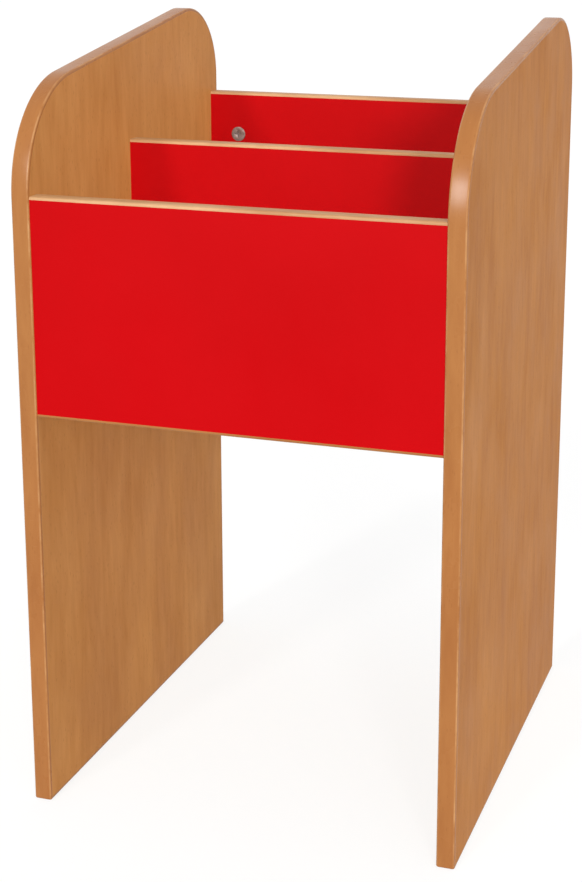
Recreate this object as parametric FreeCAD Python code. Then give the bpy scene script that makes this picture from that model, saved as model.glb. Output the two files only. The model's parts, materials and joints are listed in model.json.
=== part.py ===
"""Picture book browser bin: two shaped ends with a two-bay bin held between them by cam fittings and dowels.

Frame: origin on the floor at the centre of the footprint, +X to the reader's right, +Y to the rear, +Z up.
All sizes are in millimetres.
"""
import FreeCAD, Part
import math
import os
from collections import namedtuple
from FreeCAD import Matrix, Placement, Vector

# ---- boards and overall sizes ------------------------------------------------------------------------
BOARD = 18.0                   # thickness of every board
BIN_WIDTH = 400.0              # clear width between the two ends
DEPTH = 470.0                  # front to rear over the ends
HEIGHT = 765.0                 # floor to the highest point of the ends
FRONT_CURVE_RADIUS = 111.0     # big curve from the front edge into the sloping top
REAR_CURVE_RADIUS = 80.0       # curve from the sloping top into the rear edge
TOP_SLOPE_DEGREES = 8.4        # rise of the ends' top towards the rear

# ---- edging: glued strip along every open edge ---------------------------------------------------------
EDGING = 3.0                   # thickness of the strip
ARRIS_CHAMFER = 1.3            # flat on the strip's outer long corners
FOOT_CORNER_CHAMFER = 2.0      # cut at the ends' lower corners, seen from the side

# ---- panels of the bin ---------------------------------------------------------------------------------
PANEL_SETBACK = 2.0            # front and rear panels stand this far inside the ends' edges
FRONT_DROP = 150.0             # top of the front panel below the highest point of the ends
DIVIDER_DROP = 125.0           # top of the middle divider below that point
REAR_DROP = 98.0               # top of the rear panel below that point
FRONT_PANEL_HEIGHT = 213.0     # front panel over its edging; the rear panel's lower edge is level with its own
BASE_LIFT = 10.0               # underside of the base above the panels' lower edges

# ---- cam fittings: a round cam in the panel, a bolt in the end ------------------------------------------
CAM_DIAMETER = 15.0            # drilled pocket of the cam
CAM_CLEARANCE = 0.15           # cam to pocket, on the radius
CAM_BELOW_BOLT = 4.0           # cam body beyond the bolt's axis, seen from the panel's face
CAM_MOUTH_LIP = 0.5            # metal left between the off-centre hollow and the cam's rim at its mouth
CAM_POCKET_GROUND = 0.5        # pocket deeper than the cam
CAM_RIM_DIAMETER = 16.6        # thin rim that covers the edge of the pocket
CAM_RIM_THICKNESS = 0.7
CAM_SETBACK = 34.0             # centre of the cam from the end of its panel
CAM_EDGE_DISTANCE = 48.0       # centre of the cam from the top or lower edge of an upright panel
CAM_TURN_DEGREES = 150.0       # turn from the open to the locked cam
CROSS_LENGTH = 8.0             # cross slot for the driver
CROSS_WIDTH = 1.6
CROSS_DEPTH = 1.8
BOLT_BALL_DIAMETER = 6.0       # ball head that the cam draws in
BOLT_NECK_DIAMETER = 3.4
BOLT_SHAFT_DIAMETER = 7.0
BOLT_SHAFT_START = 9.0         # end of the neck, from the cam's centre
BOLT_COLLAR_DIAMETER = 7.6     # guide collar next to the end board
BOLT_COLLAR_LENGTH = 3.0
BOLT_SCREW_DIAMETER = 5.0      # screwed end in the end board
BOLT_SCREW_LENGTH = 11.0
BOLT_BORE_DIAMETER = 8.0       # bore in the panel's end for the bolt
SCREW_HOLE_GROUND = 1.0        # hole deeper than the screwed end
CAM_TO_BOLT_CLEARANCE = 0.3    # cam hollow and slot round the bolt's ball and neck
SCREW_FIT = 0.02               # screwed end to its hole, on the radius

# ---- dowels --------------------------------------------------------------------------------------------
DOWEL_DIAMETER = 8.0
DOWEL_LENGTH = 30.0
DOWEL_FACE_DEPTH = 11.0        # part of the dowel in the board it meets face on
DOWEL_FIT = 0.03               # dowel to hole, on the radius
DOWEL_HOLE_GROUND = 1.0        # hole deeper than the dowel, at each end
DOWEL_CHAMFER = 0.8
DOWEL_CORNER_DISTANCE = 60.0   # outer dowels of a row from the corners of the base
DOWELS_IN_ROW = 3              # dowels along each edge of the base and along the divider's foot

# ---- places worked out from the sizes above -------------------------------------------------------------
HALF_WIDTH = BIN_WIDTH / 2
HALF_DEPTH = DEPTH / 2
HALF_BOARD = BOARD / 2
FRONT_CENTRE_Y = -HALF_DEPTH + PANEL_SETBACK + HALF_BOARD
REAR_CENTRE_Y = HALF_DEPTH - PANEL_SETBACK - HALF_BOARD
DIVIDER_CENTRE_Y = (FRONT_CENTRE_Y + REAR_CENTRE_Y) / 2
FRONT_TOP = HEIGHT - FRONT_DROP
DIVIDER_TOP = HEIGHT - DIVIDER_DROP
REAR_TOP = HEIGHT - REAR_DROP
BIN_LOWER_EDGE = FRONT_TOP - FRONT_PANEL_HEIGHT
BASE_UNDERSIDE = BIN_LOWER_EDGE + BASE_LIFT
BASE_TOP = BASE_UNDERSIDE + BOARD
BASE_CENTRE_Z = BASE_UNDERSIDE + HALF_BOARD
BASE_FRONT_Y = FRONT_CENTRE_Y + HALF_BOARD
BASE_REAR_Y = REAR_CENTRE_Y - HALF_BOARD
HIDDEN_SIDES = 12              # sides of the section of what is hidden in the joints: drillings, bolts, dowels
CUT_MARGIN = 1.0               # how far a cutter runs past the face that it starts from
TOUCH = 1e-6                   # two places nearer than this are one

X_AXIS = Vector(1, 0, 0)
Y_AXIS = Vector(0, 1, 0)
Z_AXIS = Vector(0, 0, 1)


# ---- small helpers --------------------------------------------------------------------------------------
def block(x_low, x_high, y_low, y_high, z_low, z_high):
    """A rectangular block between two corners."""
    return Part.makeBox(x_high - x_low, y_high - y_low, z_high - z_low, Vector(x_low, y_low, z_low))


def many_sided(x, radius):
    """Section of a hidden round piece at one place on the X axis, its corners on the circle."""
    turns = [2 * math.pi * index / HIDDEN_SIDES for index in range(HIDDEN_SIDES + 1)]
    return Part.makePolygon([Vector(x, radius * math.cos(turn), radius * math.sin(turn)) for turn in turns])


def turned(outline):
    """Hidden round piece about the X axis, from its half outline of (x, radius) pairs."""
    bands = []
    for (start, start_radius), (end, end_radius) in zip(outline, outline[1:]):
        if end - start > TOUCH:
            sections = [many_sided(start, start_radius), many_sided(end, end_radius)]
            bands.append(Part.makeLoft(sections, True, True))
    solid = bands[0].multiFuse(bands[1:]) if len(bands) > 1 else bands[0]
    return solid.removeSplitter()


def drilled_hole(mouth, direction, diameter, depth):
    """Cutter for a blind hole that starts at a board's face and runs along direction."""
    cutter = turned([(-CUT_MARGIN, diameter / 2), (depth, diameter / 2)])
    upright = X_AXIS if abs(direction.z) > TOUCH else Z_AXIS
    return placed(cutter, mouth, direction, upright)


def placed(shape, origin, along, outward):
    """Copy of a fitting, its X axis laid along one direction and its Z axis along another."""
    side = outward.cross(along)
    matrix = Matrix(along.x, side.x, outward.x, origin.x,
                    along.y, side.y, outward.y, origin.y,
                    along.z, side.z, outward.z, origin.z,
                    0, 0, 0, 1)
    copy = shape.copy()
    copy.Placement = Placement(matrix).multiply(shape.Placement)
    return copy


def ease_edges(solid, wanted):
    """Chamfers the edges whose every end and middle point passes the test."""
    chosen = []
    for edge in solid.Edges:
        middle = edge.valueAt((edge.FirstParameter + edge.LastParameter) / 2)
        points = [vertex.Point for vertex in edge.Vertexes] + [middle]
        if all(wanted(point) for point in points):
            chosen.append(edge)
    return solid.makeChamfer(ARRIS_CHAMFER, chosen)


# ---- the two ends ---------------------------------------------------------------------------------------
def end_outline(inset, foot_cut):
    """Closed outline of an end in the YZ plane, drawn in by inset all round.

    The front edge runs up into a big curve, a straight top that rises to the rear, a second curve and the
    rear edge. The curves keep their centres whatever the inset, so the edging is equally thick everywhere.
    The two lower corners are cut at 45 degrees by foot_cut.
    """
    slope = math.radians(TOP_SLOPE_DEGREES)
    normal = Vector(0, -math.sin(slope), math.cos(slope))
    rear_centre = Vector(0, HALF_DEPTH - REAR_CURVE_RADIUS, HEIGHT - REAR_CURVE_RADIUS)
    front_y = -HALF_DEPTH + FRONT_CURVE_RADIUS
    rise = REAR_CURVE_RADIUS - FRONT_CURVE_RADIUS + (front_y - rear_centre.y) * math.sin(slope)
    front_centre = Vector(0, front_y, rear_centre.z + rise / math.cos(slope))
    front_radius = FRONT_CURVE_RADIUS - inset
    rear_radius = REAR_CURVE_RADIUS - inset

    half_front_turn = (math.pi / 2 - slope) / 2
    front_middle = Vector(0, -math.cos(half_front_turn), math.sin(half_front_turn))
    half_rear_turn = (math.pi / 2 + slope) / 2
    rear_middle = Vector(0, math.cos(half_rear_turn), math.sin(half_rear_turn))

    front_foot = Vector(0, -HALF_DEPTH + inset, inset)
    rear_foot = Vector(0, HALF_DEPTH - inset, inset)
    front_spring = front_centre - Y_AXIS * front_radius
    front_tangent = front_centre + normal * front_radius
    rear_tangent = rear_centre + normal * rear_radius
    rear_spring = rear_centre + Y_AXIS * rear_radius

    edges = [Part.Arc(front_spring, front_centre + front_middle * front_radius, front_tangent).toShape()]
    edges.append(Part.LineSegment(front_tangent, rear_tangent).toShape())
    edges.append(Part.Arc(rear_tangent, rear_centre + rear_middle * rear_radius, rear_spring).toShape())
    foot = [rear_spring, rear_foot, front_foot, front_spring]
    if foot_cut > 0:
        foot = [rear_spring, rear_foot + Z_AXIS * foot_cut, rear_foot - Y_AXIS * foot_cut,
                front_foot + Y_AXIS * foot_cut, front_foot + Z_AXIS * foot_cut, front_spring]
    return Part.Wire(edges + Part.makePolygon(foot).Edges)


def end_board_blank():
    """Core board of an end before drilling, lying between X = 0 and X = BOARD."""
    return Part.Face(end_outline(EDGING, 0)).extrude(X_AXIS * BOARD)


def end_edging_ring():
    """Edging all round an end, with eased arrises, before it is parted into its two strips."""
    outer = Part.Face(end_outline(0, FOOT_CORNER_CHAMFER)).extrude(X_AXIS * BOARD)

    def on_big_face(point):
        return abs(point.x) < TOUCH or abs(point.x - BOARD) < TOUCH

    return ease_edges(outer, on_big_face).cut(end_board_blank())


def end_edging_strips():
    """The long strip over front, top and rear, and the short strip under the foot."""
    ring = end_edging_ring()
    foot_room = block(-CUT_MARGIN, BOARD + CUT_MARGIN, -HALF_DEPTH + EDGING, HALF_DEPTH - EDGING,
                      -CUT_MARGIN, EDGING)
    return ring.cut(foot_room), ring.common(foot_room)


# ---- cam fittings ---------------------------------------------------------------------------------------
def upright_turned(radius, low, high):
    """Hidden round piece about the Z axis between two heights."""
    return placed(turned([(low, radius), (high, radius)]), Vector(0, 0, 0), Z_AXIS, X_AXIS)


def cam():
    """Die-cast cam: Z is its axis, the panel's face is half a board up, and its bolt comes in along X.

    The bolt's ball lies in an off-centre round hollow, so the wall between ball and end board is thickest at
    the locked place and thins towards the mouth. The neck runs in a slot from the mouth to that place.
    """
    radius = CAM_DIAMETER / 2 - CAM_CLEARANCE
    body = upright_turned(radius, -CAM_BELOW_BOLT, HALF_BOARD)
    rim = Part.makeCylinder(CAM_RIM_DIAMETER / 2, CAM_RIM_THICKNESS, Vector(0, 0, HALF_BOARD))

    room_radius = BOLT_BALL_DIAMETER / 2 + CAM_TO_BOLT_CLEARANCE
    slot_half_height = BOLT_NECK_DIAMETER / 2 + CAM_TO_BOLT_CLEARANCE
    hollow_radius = (radius + room_radius) / 2 - CAM_MOUTH_LIP / 2
    turn = math.radians(CAM_TURN_DEGREES)
    mouth = Vector(math.cos(turn), math.sin(turn), 0)
    hollow_centre = mouth * (hollow_radius - room_radius)
    hollow = upright_turned(hollow_radius, -room_radius, room_radius).translated(hollow_centre)
    way_in = block(0, CAM_DIAMETER, -room_radius, room_radius, -room_radius, room_radius)
    way_in = placed(way_in, Vector(0, 0, 0), mouth, Z_AXIS)
    neck_sweep = Part.makeCylinder(CAM_DIAMETER, 2 * slot_half_height, Vector(0, 0, -slot_half_height), Z_AXIS,
                                   CAM_TURN_DEGREES)
    neck_seat = block(0, CAM_DIAMETER, -slot_half_height, slot_half_height, -slot_half_height, slot_half_height)

    solid = body.fuse(rim)
    for cutter in [hollow, way_in, neck_sweep, neck_seat] + cross_slots():
        solid = solid.cut(cutter)
    return solid.removeSplitter()


def cross_slots():
    """Cutters for the driver's cross in the cam's outer face."""
    face = HALF_BOARD + CAM_RIM_THICKNESS
    half_length = CROSS_LENGTH / 2
    half_width = CROSS_WIDTH / 2
    low = face - CROSS_DEPTH
    high = face + CUT_MARGIN
    return [block(-half_length, half_length, -half_width, half_width, low, high),
            block(-half_width, half_width, -half_length, half_length, low, high)]


def cam_bolt():
    """Steel bolt along X: ball head at the cam's centre, neck, shaft, guide collar and screwed end."""
    ball = BOLT_BALL_DIAMETER / 2
    neck = BOLT_NECK_DIAMETER / 2
    shaft = BOLT_SHAFT_DIAMETER / 2
    collar = BOLT_COLLAR_DIAMETER / 2
    screw = BOLT_SCREW_DIAMETER / 2 - SCREW_FIT
    return turned([
        (-ball * math.sqrt(0.75), ball / 2),
        (0, ball),
        (math.sqrt(ball ** 2 - neck ** 2), neck),
        (BOLT_SHAFT_START, neck),
        (BOLT_SHAFT_START + shaft - neck, shaft),
        (CAM_SETBACK - BOLT_COLLAR_LENGTH, shaft),
        (CAM_SETBACK - BOLT_COLLAR_LENGTH, collar),
        (CAM_SETBACK, collar),
        (CAM_SETBACK, screw),
        (CAM_SETBACK + BOLT_SCREW_LENGTH, screw),
    ])


def dowel():
    """Hardwood dowel along X: X = 0 is the joint, the longer part lies on the negative side."""
    radius = DOWEL_DIAMETER / 2 - DOWEL_FIT
    near = DOWEL_FACE_DEPTH - DOWEL_LENGTH
    return turned([
        (near, radius - DOWEL_CHAMFER),
        (near + DOWEL_CHAMFER, radius),
        (DOWEL_FACE_DEPTH - DOWEL_CHAMFER, radius),
        (DOWEL_FACE_DEPTH, radius - DOWEL_CHAMFER),
    ])


def cam_pocket(centre, into_board):
    """Cutter for a cam's pocket; centre lies on the bolt's axis."""
    mouth = centre - into_board * HALF_BOARD
    return drilled_hole(mouth, into_board, CAM_DIAMETER, HALF_BOARD + CAM_BELOW_BOLT + CAM_POCKET_GROUND)


def bolt_bore(end_point, into_panel):
    """Cutter for the bolt's bore, from a panel's end to the cam's centre."""
    return drilled_hole(end_point, into_panel, BOLT_BORE_DIAMETER, CAM_SETBACK)


def screw_hole(mouth, into_end):
    """Cutter for the bolt's screwed end in an end board."""
    return drilled_hole(mouth, into_end, BOLT_SCREW_DIAMETER, BOLT_SCREW_LENGTH + SCREW_HOLE_GROUND)


def dowel_face_hole(mouth, into_board):
    """Cutter for a dowel's hole in the face of a board."""
    return drilled_hole(mouth, into_board, DOWEL_DIAMETER, DOWEL_FACE_DEPTH + DOWEL_HOLE_GROUND)


def dowel_edge_hole(mouth, into_board):
    """Cutter for a dowel's hole in the edge of a board."""
    return drilled_hole(mouth, into_board, DOWEL_DIAMETER,
                        DOWEL_LENGTH - DOWEL_FACE_DEPTH + DOWEL_HOLE_GROUND)


# ---- the boards that stand or lie between the ends --------------------------------------------------------
Upright = namedtuple("Upright", "name centre_y low high cam_side lower_strip")

UPRIGHTS = [
    Upright("front_panel", FRONT_CENTRE_Y, BIN_LOWER_EDGE, FRONT_TOP, Y_AXIS, True),
    Upright("middle_divider", DIVIDER_CENTRE_Y, BASE_TOP, DIVIDER_TOP, Y_AXIS, False),
    Upright("rear_panel", REAR_CENTRE_Y, BIN_LOWER_EDGE, REAR_TOP, -Y_AXIS, True),
]


def upright_fittings(panel):
    """Places (y, z) of the two cams and of the dowel between them, along each end of an upright panel."""
    low_cam = panel.low + CAM_EDGE_DISTANCE
    high_cam = panel.high - CAM_EDGE_DISTANCE
    return [(panel.centre_y, low_cam), (panel.centre_y, high_cam)], [(panel.centre_y, (low_cam + high_cam) / 2)]


def dowel_row(low, high):
    """Evenly spread places of a row of dowels between two corners."""
    first = low + DOWEL_CORNER_DISTANCE
    step = (high - low - 2 * DOWEL_CORNER_DISTANCE) / (DOWELS_IN_ROW - 1)
    return [first + step * index for index in range(DOWELS_IN_ROW)]


def base_end_dowel_places():
    """Places (y, z) of the dowels in the two ends of the base."""
    return [(y, BASE_CENTRE_Z) for y in dowel_row(BASE_FRONT_Y, BASE_REAR_Y)]


def drill_board_ends(board, cams, dowels, cam_side):
    """Cuts the pockets, bores and dowel holes at both ends of a board between the two ends."""
    for side in (-1, 1):
        into = X_AXIS * -side
        for y, z in cams:
            end_point = Vector(side * HALF_WIDTH, y, z)
            board = board.cut(bolt_bore(end_point, into))
            board = board.cut(cam_pocket(end_point + into * CAM_SETBACK, -cam_side))
        for y, z in dowels:
            board = board.cut(dowel_edge_hole(Vector(side * HALF_WIDTH, y, z), into))
    return board


def upright_board(panel):
    """Core board of an upright panel, drilled for its fittings and for the base's dowels."""
    low = panel.low + EDGING if panel.lower_strip else panel.low
    board = block(-HALF_WIDTH, HALF_WIDTH, panel.centre_y - HALF_BOARD, panel.centre_y + HALF_BOARD,
                  low, panel.high - EDGING)
    cams, dowels = upright_fittings(panel)
    board = drill_board_ends(board, cams, dowels, panel.cam_side)
    for x in dowel_row(-HALF_WIDTH, HALF_WIDTH):
        if panel.lower_strip:
            mouth = Vector(x, panel.centre_y, BASE_CENTRE_Z) + panel.cam_side * HALF_BOARD
            board = board.cut(dowel_face_hole(mouth, -panel.cam_side))
        else:
            board = board.cut(dowel_edge_hole(Vector(x, panel.centre_y, panel.low), Z_AXIS))
    return board


def edging_strip(panel, at_top):
    """Strip along the top or lower edge of an upright panel, its two outer corners eased."""
    outer_z = panel.high if at_top else panel.low
    inner_z = outer_z - EDGING if at_top else outer_z + EDGING
    strip = block(-HALF_WIDTH, HALF_WIDTH, panel.centre_y - HALF_BOARD, panel.centre_y + HALF_BOARD,
                  min(inner_z, outer_z), max(inner_z, outer_z))

    def on_arris(point):
        on_face = abs(abs(point.y - panel.centre_y) - HALF_BOARD) < TOUCH
        return on_face and abs(point.z - outer_z) < TOUCH

    return ease_edges(strip, on_arris)


def base_board():
    """Base that carries the books, drilled for its fittings and for the dowels of the three upright panels."""
    board = block(-HALF_WIDTH, HALF_WIDTH, BASE_FRONT_Y, BASE_REAR_Y, BASE_UNDERSIDE, BASE_TOP)
    board = drill_board_ends(board, [], base_end_dowel_places(), Z_AXIS)
    for x in dowel_row(-HALF_WIDTH, HALF_WIDTH):
        board = board.cut(dowel_edge_hole(Vector(x, BASE_FRONT_Y, BASE_CENTRE_Z), Y_AXIS))
        board = board.cut(dowel_edge_hole(Vector(x, BASE_REAR_Y, BASE_CENTRE_Z), -Y_AXIS))
        board = board.cut(dowel_face_hole(Vector(x, DIVIDER_CENTRE_Y, BASE_TOP), -Z_AXIS))
    return board


# ---- the two ends, drilled ---------------------------------------------------------------------------------
def all_fitting_places():
    """Cam and dowel places (y, z) on the ends' inner faces, for every board between the ends."""
    cams = []
    dowels = base_end_dowel_places()
    for panel in UPRIGHTS:
        panel_cams, panel_dowels = upright_fittings(panel)
        cams += panel_cams
        dowels += panel_dowels
    return cams, dowels


def end_board(side):
    """Core board of one end; side is -1 for the left and 1 for the right."""
    board = end_board_blank()
    board.translate(Vector(end_low_x(side), 0, 0))
    cams, dowels = all_fitting_places()
    outward = X_AXIS * side
    for y, z in cams:
        board = board.cut(screw_hole(Vector(side * HALF_WIDTH, y, z), outward))
    for y, z in dowels:
        board = board.cut(dowel_face_hole(Vector(side * HALF_WIDTH, y, z), outward))
    return board


def end_low_x(side):
    """Lowest X of an end's board."""
    return HALF_WIDTH if side > 0 else -HALF_WIDTH - BOARD


# ---- fittings in their places ------------------------------------------------------------------------------
def cams_and_bolts(places, cam_side):
    """Cams and bolts of one panel's joints with both ends, as two lists of solids."""
    cam_model = cam()
    bolt_model = cam_bolt()
    cams = []
    bolts = []
    for side in (-1, 1):
        for y, z in places:
            centre = Vector(side * (HALF_WIDTH - CAM_SETBACK), y, z)
            cams.append(placed(cam_model, centre, X_AXIS * side, cam_side))
            bolts.append(placed(bolt_model, centre, X_AXIS * side, cam_side))
    return cams, bolts


def end_dowels(places):
    """Dowels between one board and both ends."""
    model = dowel()
    return [placed(model, Vector(side * HALF_WIDTH, y, z), X_AXIS * side, Z_AXIS)
            for side in (-1, 1) for y, z in places]


def base_edge_dowels():
    """Dowels from the base's long edges into the front and rear panels."""
    model = dowel()
    solids = []
    for x in dowel_row(-HALF_WIDTH, HALF_WIDTH):
        solids.append(placed(model, Vector(x, BASE_FRONT_Y, BASE_CENTRE_Z), -Y_AXIS, Z_AXIS))
        solids.append(placed(model, Vector(x, BASE_REAR_Y, BASE_CENTRE_Z), Y_AXIS, Z_AXIS))
    return solids


def divider_foot_dowels():
    """Dowels from the divider's lower edge into the base."""
    model = dowel()
    return [placed(model, Vector(x, DIVIDER_CENTRE_Y, BASE_TOP), -Z_AXIS, Y_AXIS)
            for x in dowel_row(-HALF_WIDTH, HALF_WIDTH)]


# ---- the whole bin -----------------------------------------------------------------------------------------
def build():
    """Every piece of the bin, as node name to list of solids."""
    nodes = {}
    long_strip, foot_strip = end_edging_strips()
    for name, side in (("left_end", -1), ("right_end", 1)):
        shift = Vector(end_low_x(side), 0, 0)
        nodes[name + "_board"] = [end_board(side)]
        nodes[name + "_edging"] = [long_strip.translated(shift)]
        nodes[name + "_foot_edging"] = [foot_strip.translated(shift)]

    for panel in UPRIGHTS:
        cam_places, dowel_places = upright_fittings(panel)
        cams, bolts = cams_and_bolts(cam_places, panel.cam_side)
        nodes[panel.name + "_board"] = [upright_board(panel)]
        nodes[panel.name + "_top_edging"] = [edging_strip(panel, True)]
        if panel.lower_strip:
            nodes[panel.name + "_lower_edging"] = [edging_strip(panel, False)]
        nodes[panel.name + "_cams"] = cams
        nodes[panel.name + "_cam_bolts"] = bolts
        nodes[panel.name + "_end_dowels"] = end_dowels(dowel_places)

    nodes["middle_divider_foot_dowels"] = divider_foot_dowels()
    nodes["base_board"] = [base_board()]
    nodes["base_end_dowels"] = end_dowels(base_end_dowel_places())
    nodes["base_edge_dowels"] = base_edge_dowels()
    return nodes


def write_nodes(nodes):
    """Writes one STEP file per node."""
    os.makedirs("parts", exist_ok=True)
    for name, solids in nodes.items():
        shape = solids[0] if len(solids) == 1 else Part.makeCompound(solids)
        shape.exportStep("parts/" + name + ".step")
        print(name, len(shape.Solids), "solids, valid", shape.isValid(), round(shape.Volume))


write_nodes(build())
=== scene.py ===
"""Picture book browser bin: finishes, rounded edging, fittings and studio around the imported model.

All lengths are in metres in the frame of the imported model: the origin lies on the floor under the middle of
the bin, +X points to the reader's right, +Y to the rear and +Z up.
"""
import json
import logging
import math
from dataclasses import dataclass, field, replace
from enum import Enum
from typing import Callable, Sequence

import bmesh
import bpy
from mathutils import Matrix, Vector

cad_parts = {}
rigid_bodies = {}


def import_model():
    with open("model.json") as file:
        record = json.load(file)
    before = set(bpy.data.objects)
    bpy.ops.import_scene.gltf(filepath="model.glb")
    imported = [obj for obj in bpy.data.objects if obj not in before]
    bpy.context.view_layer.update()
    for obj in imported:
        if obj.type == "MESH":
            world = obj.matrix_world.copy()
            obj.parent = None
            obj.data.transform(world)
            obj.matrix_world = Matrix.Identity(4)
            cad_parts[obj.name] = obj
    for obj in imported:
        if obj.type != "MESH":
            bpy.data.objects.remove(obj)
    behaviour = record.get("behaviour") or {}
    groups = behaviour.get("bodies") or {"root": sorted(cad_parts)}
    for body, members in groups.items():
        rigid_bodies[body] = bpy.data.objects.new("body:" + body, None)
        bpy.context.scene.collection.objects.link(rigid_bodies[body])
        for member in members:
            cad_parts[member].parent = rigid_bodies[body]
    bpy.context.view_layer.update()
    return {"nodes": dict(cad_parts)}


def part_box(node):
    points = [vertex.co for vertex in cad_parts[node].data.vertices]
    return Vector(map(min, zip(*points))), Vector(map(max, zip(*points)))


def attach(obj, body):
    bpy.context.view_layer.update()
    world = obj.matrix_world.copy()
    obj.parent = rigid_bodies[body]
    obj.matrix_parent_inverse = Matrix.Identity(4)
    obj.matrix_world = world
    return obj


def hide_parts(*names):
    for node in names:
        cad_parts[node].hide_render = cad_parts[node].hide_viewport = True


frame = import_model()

Colour = tuple[float, float, float, float]
Triple = tuple[float, float, float]
Span = tuple[float, float]
Test = Callable[[Vector], bool]
Socket = bpy.types.NodeSocket

LOG = logging.getLogger("browser_bin")
BODY = "root"
STRIP_MAP = "strip"
TOUCH = 1e-5  # A corner this near to a plane lies on it.
WELD = 1e-6  # Corners nearer than this become one.
FLAT = math.radians(0.5)  # Facets that turn less than this become one face.
GENTLE = math.radians(35)  # Edges that turn less than this are shaded smooth.
QUARTER_TURN = math.pi / 2
X_AXIS = Vector((1, 0, 0))
Y_AXIS = Vector((0, 1, 0))
Z_AXIS = Vector((0, 0, 1))


class Axis(Enum):
    """An axis of the frame, by its place in a vector."""

    X = 0
    Y = 1
    Z = 2


def srgb(red: int, green: int, blue: int) -> Colour:
    """A display colour as the linear colour that shaders take.

    Args:
        red: Red from 0 to 255.
        green: Green from 0 to 255.
        blue: Blue from 0 to 255.

    Returns:
        The linear colour, by the sRGB curve.
    """
    parts = [channel / 255 for channel in (red, green, blue)]
    linear = [part / 12.92 if part <= 0.04045 else ((part + 0.055) / 1.055) ** 2.4 for part in parts]
    return (*linear, 1.0)


WHITE = srgb(255, 255, 255)


# ---- shaping -----------------------------------------------------------------------------------------------
class Element(Enum):
    """What an edit-mode selection picks."""

    VERT = "VERT"
    EDGE = "EDGE"
    FACE = "FACE"


def clear_selection() -> None:
    """Closes edit mode and leaves nothing selected."""
    if bpy.context.mode != "OBJECT":
        bpy.ops.object.mode_set(mode="OBJECT")
    bpy.ops.object.select_all(action="DESELECT")


def pick(*objects: bpy.types.Object) -> None:
    """Closes edit mode and selects these objects alone.

    Args:
        *objects: The objects, of which the first becomes the active one.
    """
    clear_selection()
    for obj in objects:
        obj.select_set(True)
    bpy.context.view_layer.objects.active = objects[0]


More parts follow.
